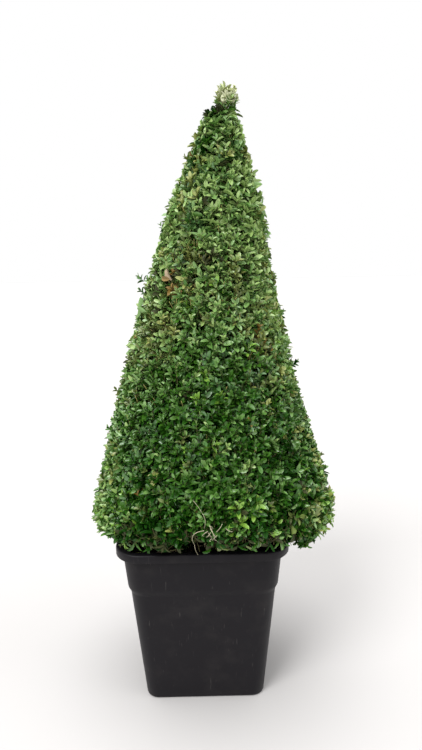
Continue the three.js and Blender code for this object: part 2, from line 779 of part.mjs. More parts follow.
function makeTuft(neighbours) {
  const random = chance(TUFT_SEED);
  const x = axisX(CROWN_TOP_Z);
  const foot = new THREE.Vector3(x, AXIS_Y, TUFT_FOOT_Z);
  const crest = new THREE.Vector3(x + TUFT_SHIFT, AXIS_Y, TUFT_TOP_Z - TUFT_STALK_DROP);
  const solids = [solidOf(twig(foot, crest, TUFT_STALK_RADIUS, TUFT_STALK_TIP_RADIUS))];
  const inSpace = (point) => inTuft(point, -TUFT_INSET);
  for (let index = 0; index < TUFT_SHOOTS; index += 1) {
    const angle = index * GOLDEN_TURN;
    const share = index / (TUFT_SHOOTS - 1);
    const start = foot.clone().lerp(crest, mix(TUFT_SHOOT_STARTS, share));
    const end = foot.clone().lerp(crest, mix(TUFT_SHOOT_ENDS, share));
    const out = TUFT_SHOOT_OUT * (1 - share * share);
    end.add(new THREE.Vector3(out * cos(angle), out * sin(angle), 0));
    solids.push(...growShoot(start, end, TUFT_LEAF_LENGTH, random, inSpace, neighbours));
  }
  return fuse(solids);
}

// Assembly

function piece(name, solid, material) {
  const mesh = new THREE.Mesh(geometryOf(solid), material);
  mesh.name = name;
  return mesh;
}

// The limbs with their clearance round them, which the crown's leaves and twigs keep out of.
function limbRoom() {
  const boughs = Object.values(BOUGH_ANGLES).map((degrees) =>
    boughSolid(boughPath(degrees * DEGREE), BOUGH_TIP_RADIUS, GAP),
  );
  const low = boughSolid(lowBoughPath(), LOW_BOUGH_TIP_RADIUS, GAP);
  return wasm.Manifold.union([makeTrunk(GAP), low, ...boughs]);
}

const pot = makePot();
const compost = makeCompost();
const looseShoots = makeLobe();
const crown = makeCrown(wasm.Manifold.union([pot, compost, looseShoots, limbRoom()]));
const bark = finish(colours.bark, 0.85);

const topiary = new THREE.Group();
topiary.add(
  piece("pot", pot, finish(colours.pot, 0.55)),
  piece("compost", compost, finish(colours.compost, 0.95)),
  piece("trunk", makeTrunk(0), bark),
  ...Object.entries(makeBoughs()).map(([name, solid]) => piece(name, solid, bark)),
  piece("crown", crown, finish(colours.crown, 0.5)),
  piece("loose_shoots", looseShoots, finish(colours.lobe, 0.5)),
  piece("tip_tuft", makeTuft(crown), finish(colours.tuft, 0.5)),
);

export default topiary;
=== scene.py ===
"""Boxwood clipped to a cone in its square nursery pot, dressed for looks inside its fixed frame.

Metres. +Z is up, +X to the right and +Y away from someone who faces the plant. The origin is the
middle of the pot's flat underside. Every foliage mass ends in sprays of paired leaves; the crown's
twigs leave a stem, turn by the golden angle and fork near the clipped surface.
"""

import logging
import math
from dataclasses import dataclass, field
from enum import Enum
from typing import Callable

import bpy
import numpy as np
from mathutils import Matrix, Vector


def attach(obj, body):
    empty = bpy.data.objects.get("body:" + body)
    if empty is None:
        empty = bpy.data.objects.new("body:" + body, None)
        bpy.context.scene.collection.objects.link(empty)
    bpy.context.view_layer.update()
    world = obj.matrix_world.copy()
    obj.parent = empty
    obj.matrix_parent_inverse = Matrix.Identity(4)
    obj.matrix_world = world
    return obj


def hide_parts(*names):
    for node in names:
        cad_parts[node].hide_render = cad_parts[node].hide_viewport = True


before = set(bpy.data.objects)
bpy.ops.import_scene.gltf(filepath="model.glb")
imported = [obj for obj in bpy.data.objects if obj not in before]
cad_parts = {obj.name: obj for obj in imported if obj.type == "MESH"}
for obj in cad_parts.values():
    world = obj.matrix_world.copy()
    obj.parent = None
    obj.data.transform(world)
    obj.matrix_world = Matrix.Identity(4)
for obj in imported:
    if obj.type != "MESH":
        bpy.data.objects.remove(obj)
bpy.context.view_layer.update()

ROOT = "root"
GOLDEN_TURN = math.pi * (3.0 - math.sqrt(5.0))
MM = 0.001
LEAF_FACES = 12
MOST_FACES = 180000
UP = np.array([0.0, 0.0, 1.0])
log = logging.getLogger("boxwood")

Array = np.ndarray
FormTest = Callable[[Array], Array]


# Helpers

def linear(code: str) -> tuple[float, float, float, float]:
    """Turns an sRGB hex value into a linear colour.

    Args:
        code: six hex digits.

    Returns:
        The linear red, green, blue and an alpha of 1.
    """
    parts = [int(code[at:at + 2], 16) / 255 for at in (0, 2, 4)]
    values = [p / 12.92 if p <= 0.04045 else ((p + 0.055) / 1.055) ** 2.4 for p in parts]
    return (values[0], values[1], values[2], 1.0)


def add_node(
    tree: bpy.types.NodeTree, kind: str, settings: dict | None = None, links: dict | None = None
) -> bpy.types.Node:
    """Adds a node with its settings and its incoming links.

    Args:
        tree: the node tree.
        kind: the node's type.
        settings: property names or input names, each with its value.
        links: input names or numbers, each with the output socket that feeds it.

    Returns:
        The new node.
    """
    node = tree.nodes.new(kind)
    for name, value in (settings or {}).items():
        if isinstance(name, str) and hasattr(node, name):
            setattr(node, name, value)
        else:
            node.inputs[name].default_value = value
    for name, output in (links or {}).items():
        tree.links.new(output, node.inputs[name])
    return node


def mesh_from(name: str, points: Array, faces: list[Array], smooth: bool = True) -> bpy.types.Mesh:
    """Makes a mesh from arrays.

    Args:
        name: the mesh's name.
        points: vertices, one row each.
        faces: arrays of corner indices, each array with faces of one size.
        smooth: whether the faces are smooth shaded.

    Returns:
        The mesh.
    """
    mesh = bpy.data.meshes.new(name)
    corners = np.concatenate([block.ravel() for block in faces]).astype(np.int32)
    sizes = np.concatenate([np.full(len(block), block.shape[1]) for block in faces]).astype(np.int32)
    starts = np.concatenate([[0], np.cumsum(sizes)[:-1]]).astype(np.int32)
    mesh.vertices.add(len(points))
    mesh.vertices.foreach_set("co", np.asarray(points, dtype=np.float32).ravel())
    mesh.loops.add(len(corners))
    mesh.loops.foreach_set("vertex_index", corners)
    mesh.polygons.add(len(sizes))
    mesh.polygons.foreach_set("loop_start", starts)
    mesh.polygons.foreach_set("use_smooth", np.full(len(sizes), smooth))
    mesh.update(calc_edges=True)
    mesh.validate()
    return mesh


def add_piece(
    name: str, mesh: bpy.types.Mesh, material: bpy.types.Material, nodes: tuple[str, ...]
) -> bpy.types.Object:
    """Adds a finished piece that rides on the plant's one body.

    Args:
        name: the piece's name.
        mesh: its mesh, already in place.
        material: its finish.
        nodes: the solids of the frame that it stands for.

    Returns:
        The piece.
    """
    piece = bpy.data.objects.new(name, mesh)
    bpy.context.scene.collection.objects.link(piece)
    mesh.materials.clear()
    mesh.materials.append(material)
    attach(piece, ROOT)
    if nodes:
        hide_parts(*nodes)
    mesh.calc_loop_triangles()
    log.info("%s: %d triangles", name, len(mesh.loop_triangles))
    return piece


def younger(tint: Array, share: float, rng: np.random.Generator) -> Array:
    """Gives a share of the sprays a tip pair that is one step lighter.

    Args:
        tint: the index of each spray's tint.
        share: how many sprays have a lighter tip.
        rng: the seeded source of chance.

    Returns:
        The index of each tip pair's tint.
    """
    return np.where(rng.uniform(0.0, 1.0, len(tint)) < share, YOUNGER[tint], tint)


def unit(vectors: Array) -> Array:
    """Gives rows their direction at length 1."""
    return vectors / np.maximum(np.linalg.norm(vectors, axis=-1, keepdims=True), 1e-9)


def smooth_step(value: Array | float) -> Array | float:
    """Eases a share from 0 to 1."""
    share = np.clip(value, 0.0, 1.0)
    return share * share * (3.0 - 2.0 * share)


def turn_between(angle: Array, other: float) -> Array:
    """Gives the smallest turn between two directions, in radians."""
    return np.abs(np.arctan2(np.sin(angle - other), np.cos(angle - other)))


# Finishes

@dataclass(frozen=True)
class LeafFinish:
    """Living boxwood leaf: a waxy cuticle over flesh, so it is soft in colour with a cool sheen."""

    name: str
    colour: str
    roughness: float = 0.4
    sheen_edge: float = 0.75
    vein_spacing: float = 1.1 * MM

    def material(self) -> bpy.types.Material:
        """Makes the finish, with one plain colour and a faint relief of veins."""
        material = bpy.data.materials.new(self.name)
        material.use_nodes = True
        tree = material.node_tree
        shader = tree.nodes["Principled BSDF"]
        shader.inputs["Base Color"].default_value = linear(self.colour)
        shader.inputs["Specular IOR Level"].default_value = self.sheen_edge
        place = add_node(tree, "ShaderNodeTexCoord")
        veins = add_node(
            tree, "ShaderNodeTexNoise",
            {"Scale": 1.0 / self.vein_spacing, "Detail": 2.0, "Roughness": 0.6},
            {"Vector": place.outputs["Object"]},
        )
        wax = add_node(
            tree, "ShaderNodeMapRange",
            {"To Min": self.roughness - 0.1, "To Max": self.roughness + 0.1},
            {"Value": veins.outputs["Fac"]},
        )
        tree.links.new(wax.outputs["Result"], shader.inputs["Roughness"])
        relief = add_node(
            tree, "ShaderNodeBump", {"Strength": 0.35, "Distance": 0.3 * MM},
            {"Height": veins.outputs["Fac"]},
        )
        tree.links.new(relief.outputs["Normal"], shader.inputs["Normal"])
        return material


class Tint(Enum):
    """The colours of leaves on this plant, from the shaded inside to the pale new growth."""

    # Shaded, deep, forest, middle, fresh and light green are steps of one green; on the crown, which step a spray
    # gets is mostly painted light and shade.
    SHADED = LeafFinish("boxwood_leaf_shaded", "143c06", 0.5, 0.12)
    DEEP = LeafFinish("boxwood_leaf_deep_green", "26520f", 0.38, 0.35)
    FOREST = LeafFinish("boxwood_leaf_forest_green", "3a661a", 0.36, 0.5)
    MIDDLE = LeafFinish("boxwood_leaf_middle_green", "567e37", 0.34)
    BLUISH = LeafFinish("boxwood_leaf_bluish_green", "4a703c", 0.34)
    FRESH = LeafFinish("boxwood_leaf_fresh_green", "6d924d", 0.36)
    LIGHT = LeafFinish("boxwood_leaf_light_green", "8da960", 0.4)
    SPRING = LeafFinish("boxwood_leaf_spring_green", "729a36", 0.36)
    OLIVE = LeafFinish("boxwood_leaf_olive", "66763a", 0.42)
    YELLOWING = LeafFinish("boxwood_leaf_yellowing", "8d974e", 0.45)
    PALE = LeafFinish("boxwood_leaf_pale_new", "a8b47c", 0.45)
    PALEST = LeafFinish("boxwood_leaf_cream_edge", "cfd3b0", 0.5)
    AMBER = LeafFinish("boxwood_leaf_amber", "806628", 0.55)
    DRY = LeafFinish("boxwood_leaf_dried_tan", "a8967a", 0.7)
    # Dead browned leaves; the same dull dark olive also paints shade in the notch by the tuft and under the skirt.
    BROWN = LeafFinish("boxwood_leaf_browned", "353b1c", 0.6, 0.3)


TINTS = list(Tint)


@dataclass(frozen=True)
class WoodFinish:
    """Boxwood bark: thin, corky and split into small plates, so it is matt with dark cracks."""

    name: str
    pale: str
    dark: str
    plate: float = 6.0 * MM
    roughness: float = 0.85

    def material(self) -> bpy.types.Material:
        """Makes the finish, with cracks and lichen-pale ridges in real millimetres."""
        material = bpy.data.materials.new(self.name)
        material.use_nodes = True
        tree = material.node_tree
        shader = tree.nodes["Principled BSDF"]
        shader.inputs["Roughness"].default_value = self.roughness
        place = add_node(tree, "ShaderNodeTexCoord")
        stretch = add_node(
            tree, "ShaderNodeMapping", {"Scale": (1.0, 1.0, 0.4)}, {"Vector": place.outputs["Object"]}
        )
        plates = add_node(
            tree, "ShaderNodeTexVoronoi", {"feature": "DISTANCE_TO_EDGE", "Scale": 1.0 / self.plate},
            {"Vector": stretch.outputs["Vector"]},
        )
        grit = add_node(
            tree, "ShaderNodeTexNoise", {"Scale": 3.0 / self.plate, "Detail": 5.0},
            {"Vector": stretch.outputs["Vector"]},
        )
        ridge = add_node(
            tree, "ShaderNodeMath", {"operation": "MULTIPLY"},
            {0: plates.outputs["Distance"], 1: grit.outputs["Fac"]},
        )
        colour = add_node(tree, "ShaderNodeValToRGB", None, {"Fac": ridge.outputs["Value"]})
        colour.color_ramp.elements[0].color = linear(self.dark)
        colour.color_ramp.elements[1].color = linear(self.pale)
        colour.color_ramp.elements[1].position = 0.3
        tree.links.new(colour.outputs["Color"], shader.inputs["Base Color"])
        relief = add_node(
            tree, "ShaderNodeBump", {"Strength": 0.8, "Distance": 0.8 * MM},
            {"Height": ridge.outputs["Value"]},
        )
        tree.links.new(relief.outputs["Normal"], shader.inputs["Normal"])
        return material


@dataclass(frozen=True)
class PotPlastic:
    """Injection-moulded recycled polypropylene: near black, half matt, dusty and lightly scuffed."""

    name: str = "recycled_polypropylene_moulded"
    colour: str = "121014"
    dust: str = "3b3836"
    scuff: str = "5d5a57"
    grain: float = 0.7 * MM
    wave: float = 60.0 * MM
    scratch: float = 2.5 * MM

    def material(self) -> bpy.types.Material:
        """Makes the finish: fine grain, slow waves in the wall, dust and thin upright scratches."""
        material = bpy.data.materials.new(self.name)
        material.use_nodes = True
        tree = material.node_tree
        shader = tree.nodes["Principled BSDF"]
        shader.inputs["Specular IOR Level"].default_value = 0.18
        place = add_node(tree, "ShaderNodeTexCoord")
        grain = add_node(
            tree, "ShaderNodeTexNoise", {"Scale": 1.0 / self.grain, "Detail": 3.0},
            {"Vector": place.outputs["Object"]},
        )
        waves = add_node(
            tree, "ShaderNodeTexNoise", {"Scale": 1.0 / self.wave, "Detail": 1.0},
            {"Vector": place.outputs["Object"]},
        )
        upright = add_node(
            tree, "ShaderNodeMapping", {"Scale": (1.0, 1.0, 0.05)}, {"Vector": place.outputs["Object"]}
        )
        scratches = add_node(
            tree, "ShaderNodeTexNoise", {"Scale": 1.0 / self.scratch, "Detail": 4.0, "Distortion": 0.4},
            {"Vector": upright.outputs["Vector"]},
        )
        blotches = add_node(
            tree, "ShaderNodeTexNoise", {"Scale": 22.0, "Detail": 6.0, "Roughness": 0.65},
            {"Vector": place.outputs["Object"]},
        )
        dusty = add_node(
            tree, "ShaderNodeMapRange", {"From Min": 0.5, "From Max": 0.78, "To Max": 0.22},
            {"Value": blotches.outputs["Fac"]},
        )
        scratched = add_node(
            tree, "ShaderNodeMapRange", {"From Min": 0.66, "From Max": 0.74, "To Max": 0.3},
            {"Value": scratches.outputs["Fac"]},
        )
        dust = add_node(
            tree, "ShaderNodeMix",
            {"data_type": "RGBA", 6: linear(self.colour), 7: linear(self.dust)},
            {0: dusty.outputs["Result"]},
        )
        worn = add_node(
            tree, "ShaderNodeMix", {"data_type": "RGBA", 7: linear(self.scuff)},
            {0: scratched.outputs["Result"], 6: dust.outputs[2]},
        )
        tree.links.new(worn.outputs[2], shader.inputs["Base Color"])
        gloss = add_node(
            tree, "ShaderNodeMapRange", {"To Min": 0.36, "To Max": 0.58},
            {"Value": blotches.outputs["Fac"]},
        )
        tree.links.new(gloss.outputs["Result"], shader.inputs["Roughness"])
        slow = add_node(
            tree, "ShaderNodeBump", {"Strength": 0.5, "Distance": 2.0 * MM},
            {"Height": waves.outputs["Fac"]},
        )
        fine = add_node(
            tree, "ShaderNodeBump", {"Strength": 0.22, "Distance": 0.15 * MM},
            {"Height": grain.outputs["Fac"], "Normal": slow.outputs["Normal"]},
        )
        tree.links.new(fine.outputs["Normal"], shader.inputs["Normal"])
        return material


@dataclass(frozen=True)
class EarthFinish:
    """Moist peaty compost or the dense dead twigs inside a clipped bush: dark, rough and crumbly. Inside the bush
    the dark colour is painted shade.
    """

    name: str
    dark: str
    pale: str
    crumb: float = 4.0 * MM
    relief: float = 2.5 * MM

    def material(self) -> bpy.types.Material:
        """Makes the finish, with crumbs from coarse to fine."""
        material = bpy.data.materials.new(self.name)
        material.use_nodes = True
        tree = material.node_tree
        shader = tree.nodes["Principled BSDF"]
        shader.inputs["Roughness"].default_value = 0.95
        shader.inputs["Specular IOR Level"].default_value = 0.2
        place = add_node(tree, "ShaderNodeTexCoord")
        crumbs = add_node(
            tree, "ShaderNodeTexNoise", {"Scale": 1.0 / self.crumb, "Detail": 6.0, "Roughness": 0.7},
            {"Vector": place.outputs["Object"]},
        )
        colour = add_node(tree, "ShaderNodeValToRGB", None, {"Fac": crumbs.outputs["Fac"]})
        colour.color_ramp.elements[0].position = 0.35
        colour.color_ramp.elements[0].color = linear(self.dark)
        colour.color_ramp.elements[1].position = 0.75
        colour.color_ramp.elements[1].color = linear(self.pale)
        tree.links.new(colour.outputs["Color"], shader.inputs["Base Color"])
        relief = add_node(
            tree, "ShaderNodeBump", {"Strength": 0.9, "Distance": self.relief},
            {"Height": crumbs.outputs["Fac"]},
        )
        tree.links.new(relief.outputs["Normal"], shader.inputs["Normal"])
        return material


# Forms: the spaces that the foliage keeps to

@dataclass(frozen=True)
class Swell:
    """A place where the clipped side stands fuller, or slacker, than the cone."""

    z: float
    angle: float
    height: float
    span_z: float
    span_angle: float


@dataclass(frozen=True)
class CrownForm:
    """The clipped cone: how far its leaf tips reach from an axis that leans right as it rises."""

    low_z: float = 0.290
    wide_z: float = 0.330
    top_z: float = 0.978
    low_reach: float = 0.199
    wide_reach: float = 0.208
    top_reach: float = 0.026
    belly: float = 0.005
    front_lift: float = 0.036
    axis_start: float = 0.016
    axis_bend: float = 0.030
    axis_bend_z: float = 0.500
    axis_y: float = 0.008
    top_slant: float = 0.3
    swells: tuple[Swell, ...] = (
        Swell(0.828, -6, 0.009, 0.055, 60),
        Swell(0.832, 180, 0.004, 0.040, 50),
        Swell(0.716, 186, 0.010, 0.011, 9),
        Swell(0.540, 0, -0.005, 0.070, 50),
        Swell(0.318, 205, 0.005, 0.026, 34),
    )

    def axis_x(self, z: Array) -> Array:
        """Gives the axis's place across, at heights."""
        return self.axis_start + self.axis_bend * ((z - self.axis_bend_z) / self.axis_bend_z) ** 2

    def swelling(self, z: Array, angle: Array) -> Array:
        """Gives how much fuller than the cone the side stands.

        Args:
            z: heights.
            angle: directions from the axis, in radians.

        Returns:
            The extra reach, in metres.
        """
        total = np.zeros(np.broadcast(z, angle).shape)
        for place in self.swells:
            rise = (z - place.z) / place.span_z
            turn = turn_between(angle, math.radians(place.angle)) / math.radians(place.span_angle)
            total = total + place.height * np.exp(-rise * rise - turn * turn)
        return total

    def reach(self, z: Array, angle: Array) -> Array:
        """Gives how far the leaf tips reach from the axis.

        Args:
            z: heights.
            angle: directions from the axis, in radians.

        Returns:
            The reach, in metres.
        """
        share = np.clip((z - self.wide_z) / (self.top_z - self.wide_z), 0.0, 1.0)
        side = self.wide_reach + (self.top_reach - self.wide_reach) * share
        tuck = np.maximum((self.wide_z - z) / (self.wide_z - self.low_z), 0.0)
        skirt = (self.wide_reach - self.low_reach) * tuck * tuck
        return side + self.belly * np.sin(math.pi * share) - skirt + self.swelling(z, angle)

    def low_edge(self, angle: Array) -> Array:
        """Gives the lower edge of the foliage, which lifts at the front to leave the rim in view."""
        return self.low_z + self.front_lift * np.maximum(-np.sin(angle), 0.0) ** 2

    def top_edge(self, x: Array) -> Array:
        """Gives the clipped top, which slopes down to the left."""
        return self.top_z + self.top_slant * (x - self.axis_x(np.array(self.top_z)))

    def at(self, z: Array, angle: Array, radius: Array) -> Array:
        """Gives points at heights, directions and distances from the axis."""
        x = self.axis_x(z) + radius * np.cos(angle)
        y = self.axis_y + radius * np.sin(angle)
        return np.stack(np.broadcast_arrays(x, y, z), axis=-1)

    def polar(self, points: Array) -> tuple[Array, Array]:
        """Gives points' distances and directions from the axis."""
        x = points[..., 0] - self.axis_x(points[..., 2])
        y = points[..., 1] - self.axis_y
        return np.hypot(x, y), np.arctan2(y, x)

    def holds(self, points: Array) -> Array:
        """Tells which points lie in the crown's space, clear of the pot and the other masses."""
        radius, angle = self.polar(points)
        over_pot = np.max(np.abs(points[..., :2]), axis=-1) < POT.rim_half + 0.002
        low = over_pot & (points[..., 2] < POT.height + 0.002)
        return (
            (radius <= self.reach(points[..., 2], angle))
            & (points[..., 2] >= self.low_edge(angle))
            & (points[..., 2] <= self.top_edge(points[..., 0]))
            & ~low
            & ~LOBE.holds(points, 0.002)
            & ~TUFT.holds(points, 0.001)
        )


@dataclass(frozen=True)
class LobeForm:
    """The space of the loose shoots at the lower right, in front of the pot's corner."""

    angle: float = -33.0
    half_angle: float = 21.0
    inner: float = 0.178
    outer: float = 0.217
    low_z: float = 0.287
    top_z: float = 0.366

    def holds(self, points: Array, margin: float = 0.0) -> Array:
        """Tells which points lie in this space.

        Args:
            points: the points.
            margin: how far the space is widened.

        Returns:
            True for each point inside.
        """
        radius, angle = CROWN.polar(points)
        turn = turn_between(angle, math.radians(self.angle))
        return (
            (turn < math.radians(self.half_angle) + margin / self.inner)
            & (radius > self.inner - margin)
            & (radius < self.outer + margin)
            & (points[..., 2] > self.low_z - margin)
            & (points[..., 2] < self.top_z + margin)
        )


@dataclass(frozen=True)
class TuftForm:
    """The space of the pale tuft on the tip."""

    foot_z: float = 0.974
    top_z: float = 1.018
    reach: float = 0.020
    shift: float = 0.008

    def holds(self, points: Array, margin: float = 0.0) -> Array:
        """Tells which points lie in this space.

        Args:
            points: the points.
            margin: how far the space is widened.

        Returns:
            True for each point inside.
        """
        middle = CROWN.axis_x(np.array(CROWN.top_z)) + self.shift
        out = np.hypot(points[..., 0] - middle, points[..., 1] - CROWN.axis_y)
        z = points[..., 2]
        return (out < self.reach + margin) & (z > self.foot_z - margin) & (z < self.top_z)


@dataclass(frozen=True)
class PotForm:
    """The square pot: a tapered tub with round corners, a stacking shoulder and a lip."""

    height: float = 0.2946
    base_half: float = 0.1025
    taper: float = 0.089
    wall: float = 0.0025
    base_corner: float = 0.022
    top_corner: float = 0.030
    shoulder_low: float = 0.208
    shoulder_high: float = 0.222
    shoulder_step: float = 0.003
    rim_half: float = 0.142
    rim_corner: float = 0.044
    rim_thick: float = 0.003
    rim_round: float = 0.0032
    lip_drop: float = 0.014
    base_round: float = 0.004

    def half(self, z: float) -> float:
        """Gives half the width over the wall at a height."""
        step = smooth_step((z - self.shoulder_low) / (self.shoulder_high - self.shoulder_low))
        return self.base_half + self.taper * z + self.shoulder_step * float(step)

    def corner(self, z: float) -> float:
        """Gives the wall's corner radius at a height."""
        return self.base_corner + (self.top_corner - self.base_corner) * z / self.height

    def shows_rim(self, points: Array, slope: float = 0.55) -> Array:
        """Tells which points leave the rim free, on a slope that rises outward from its edge.

        Args:
            points: the points.
            slope: how steeply the free space rises outside the rim.

        Returns:
            True for each point above the slope.
        """
        out = np.max(np.abs(points[..., :2]), axis=-1) - self.rim_half
        return points[..., 2] > self.height + 0.002 + slope * np.maximum(out, 0.0)


CROWN = CrownForm()
LOBE = LobeForm()
TUFT = TuftForm()
POT = PotForm()


# Leaves and sprays

@dataclass(frozen=True)
class LeafShape:
    """An oval leaf, widest past its middle, folded along its midrib, with its tip bent back."""

    stations: tuple[float, ...] = (0.18, 0.52, 0.86)
    widths: tuple[float, ...] = (0.74, 1.0, 0.66)
    fold: float = 0.36
    bend: float = 0.12

    def template(self) -> tuple[Array, list[Array]]:
        """Makes the leaf at length 1 and width 1.

        Returns:
            The vertices, and the faces as triangles and quads.
        """
        rows = [(0.0, 0.0, 0.0)]
        for run, wide in zip(self.stations, self.widths):
            drop = -self.bend * run * run
            rows.append((run, wide / 2, drop + self.fold * wide / 2))
            rows.append((run, 0.0, drop))
            rows.append((run, -wide / 2, drop + self.fold * wide / 2))
        rows.append((1.0, 0.0, -self.bend))
        tip = len(rows) - 1
        last = tip - 3
        triangles = [(0, 2, 1), (0, 3, 2), (tip, last, last + 1), (tip, last + 1, last + 2)]
        quads = []
        for station in range(len(self.stations) - 1):
            near = 1 + 3 * station
            far = near + 3
            quads.append((near, near + 1, far + 1, far))
            quads.append((near + 1, near + 2, far + 2, far + 1))
        return np.array(rows), [np.array(triangles), np.array(quads)]


@dataclass
class Leaves:
    """Leaves as arrays: where each is rooted, how it lies, its size and its tint."""

    root: Array
    along: Array
    normal: Array
    length: Array
    width: Array
    fold: Array
    tint: Array

    def tips(self) -> Array:
        """Gives the leaves' tips."""
        return self.root + self.along * self.length[:, None]

    def kept(self, keep: Array) -> "Leaves":
        """Gives the leaves that a mask keeps."""
        return Leaves(*(getattr(self, name)[keep] for name in self.__dataclass_fields__))

    def with_more(self, other: "Leaves") -> "Leaves":
        """Gives these leaves and others together."""
        names = self.__dataclass_fields__
        return Leaves(*(np.concatenate([getattr(self, n), getattr(other, n)]) for n in names))

    def mesh(self, name: str, shape: LeafShape) -> bpy.types.Mesh:
        """Joins the leaves into one mesh.

        Args:
            name: the mesh's name.
            shape: the leaf's outline and folds.

        Returns:
            The mesh.
        """
        points, faces = shape.template()
        across = np.cross(self.normal, self.along)
        run = points[None, :, 0, None] * self.length[:, None, None] * self.along[:, None, :]
        side = points[None, :, 1, None] * self.width[:, None, None] * across[:, None, :]
        lift = points[None, :, 2, None] * (self.length * self.fold)[:, None, None]
        placed = self.root[:, None, :] + run + side + lift * self.normal[:, None, :]
        offsets = np.arange(len(self.root))[:, None, None] * len(points)
        blocks = [(block[None] + offsets).reshape(-1, block.shape[1]) for block in faces]
        return mesh_from(name, placed.reshape(-1, 3), blocks)


@dataclass(frozen=True)
class Habit:
    """How a spray carries its leaves: crossed pairs, closer and smaller towards its tip."""

    pairs: int = 5
    spacing: float = 4.6 * MM
    opens: tuple[float, ...] = (24.0, 46.0, 60.0, 70.0, 76.0)
    lengths: tuple[float, ...] = (0.62, 0.9, 1.0, 0.98, 0.9)
    width_share: float = 0.45
    roll: float = 0.3
    older: float = 0.3
    fresher: float = 0.22


@dataclass
class Sprays:
    """Sprays as arrays: the shoot's start and tip, its leaf length, the spray's tint and its tip pair's tint."""

    start: Array
    tip: Array
    leaf: Array
    tint: Array
    tip_tint: Array

    def pair_tint(self, pair: int, shade_from: int = 3) -> Array:
        """Gives the tint of one pair: the tip pair's own, and one step darker far down the shoot as painted shade.
        """
        if pair == 0:
            return self.tip_tint
        return STEP_DARKER[self.tint] if pair >= shade_from else self.tint

    def along(self) -> Array:
        """Gives the shoots' directions."""
        return unit(self.tip - self.start)

    def kept(self, keep: Array) -> "Sprays":
        """Gives the sprays that a mask keeps."""
        return Sprays(*(getattr(self, name)[keep] for name in self.__dataclass_fields__))

    def with_more(self, other: "Sprays") -> "Sprays":
        """Gives these sprays and others together."""
        names = self.__dataclass_fields__
        return Sprays(*(np.concatenate([getattr(self, n), getattr(other, n)]) for n in names))

    def leaves(self, habit: Habit, rng: np.random.Generator) -> Leaves:
        """Grows the leaves in crossed pairs down each shoot.

        Args:
            habit: how the sprays carry their leaves.
            rng: the seeded source of chance.

        Returns:
            The leaves of all the sprays.
        """
        count = len(self.tip)
        along = self.along()
        helper = np.where(np.abs(along[:, 2:3]) < 0.9, UP, np.array([1.0, 0.0, 0.0]))
        across = unit(np.cross(along, helper))
        back = np.cross(along, across)
        turn = rng.uniform(0.0, math.pi, count)
        batches = []
        for pair in range(habit.pairs):
            for side in (0.0, math.pi):
                roll = turn + pair * math.pi / 2 + side + rng.normal(0.0, 0.16, count)
                out = across * np.cos(roll)[:, None] + back * np.sin(roll)[:, None]
                open_ = np.radians(habit.opens[pair] + rng.normal(0.0, 8.0, count))
                run = unit(along * np.cos(open_)[:, None] + out * np.sin(open_)[:, None])
                lean = rng.normal(0.0, habit.roll, count)
                face = unit(along - run * np.sum(along * run, axis=1)[:, None])
                edge = np.cross(run, face)
                face = unit(face * np.cos(lean)[:, None] + edge * np.sin(lean)[:, None])
                length = self.leaf * habit.lengths[pair] * rng.uniform(0.8, 1.12, count)
                gap = habit.spacing * (pair + rng.uniform(-0.2, 0.2, count))
                tint = self.pair_tint(pair)
                chance = rng.uniform(0.0, 1.0, count)
                tint = np.where(chance < habit.older, STEP_DARKER[tint], tint)
                tint = np.where(chance > 1.0 - habit.fresher, YOUNGER[tint], tint)
                batches.append(Leaves(
                    self.tip - along * gap[:, None], run, face, length,
                    length * habit.width_share * rng.uniform(0.86, 1.16, count),
                    rng.uniform(0.5, 1.5, count), tint,
                ))
        whole = batches[0]
        for batch in batches[1:]:
            whole = whole.with_more(batch)
        return whole


def add_leaves(group: str, leaves: Leaves, nodes: tuple[str, ...]) -> None:
    """Adds the leaves of a mass as one piece for each tint.

    Args:
        group: the word that starts the pieces' names.
        leaves: the leaves.
        nodes: the solids of the frame that they stand for.
    """
    for tint in TINTS:
        chosen = leaves.kept(leaves.tint == TINTS.index(tint))
        batches = math.ceil(len(chosen.root) * LEAF_FACES / MOST_FACES)
        for batch in range(batches):
            name = f"{group}_{tint.value.name}" + (f"_{batch + 1}" if batches > 1 else "")
            part = chosen.kept(np.arange(len(chosen.root)) % batches == batch)
            add_piece(name, part.mesh(name, LeafShape()), LEAF_MATERIALS[tint], nodes)


def tapered_rods(name: str, start: Array, end: Array, radius: Array, share: float) -> bpy.types.Mesh:
    """Joins three-sided twigs into one mesh.

    Args:
        name: the mesh's name.
        start: where the twigs leave.
        end: where they end.
        radius: their radius at the start.
        share: how much of it is left at the end.

    Returns:
        The mesh.
    """
    along = unit(end - start)
    helper = np.where(np.abs(along[:, 2:3]) < 0.9, UP, np.array([1.0, 0.0, 0.0]))
    across = unit(np.cross(along, helper))
    back = np.cross(along, across)
    rings = []
    for place, size in ((start, radius), (end, radius * share)):
        for corner in range(3):
            angle = corner * 2 * math.pi / 3
            spoke = across * math.cos(angle) + back * math.sin(angle)
            rings.append(place + spoke * size[:, None])
    points = np.stack(rings, axis=1).reshape(-1, 3)
    quads = np.array([(0, 1, 4, 3), (1, 2, 5, 4), (2, 0, 3, 5)])
    caps = np.array([(3, 4, 5), (2, 1, 0)])
    offsets = np.arange(len(start))[:, None, None] * 6
    blocks = [(block[None] + offsets).reshape(-1, block.shape[1]) for block in (quads, caps)]
    return mesh_from(name, points, blocks)


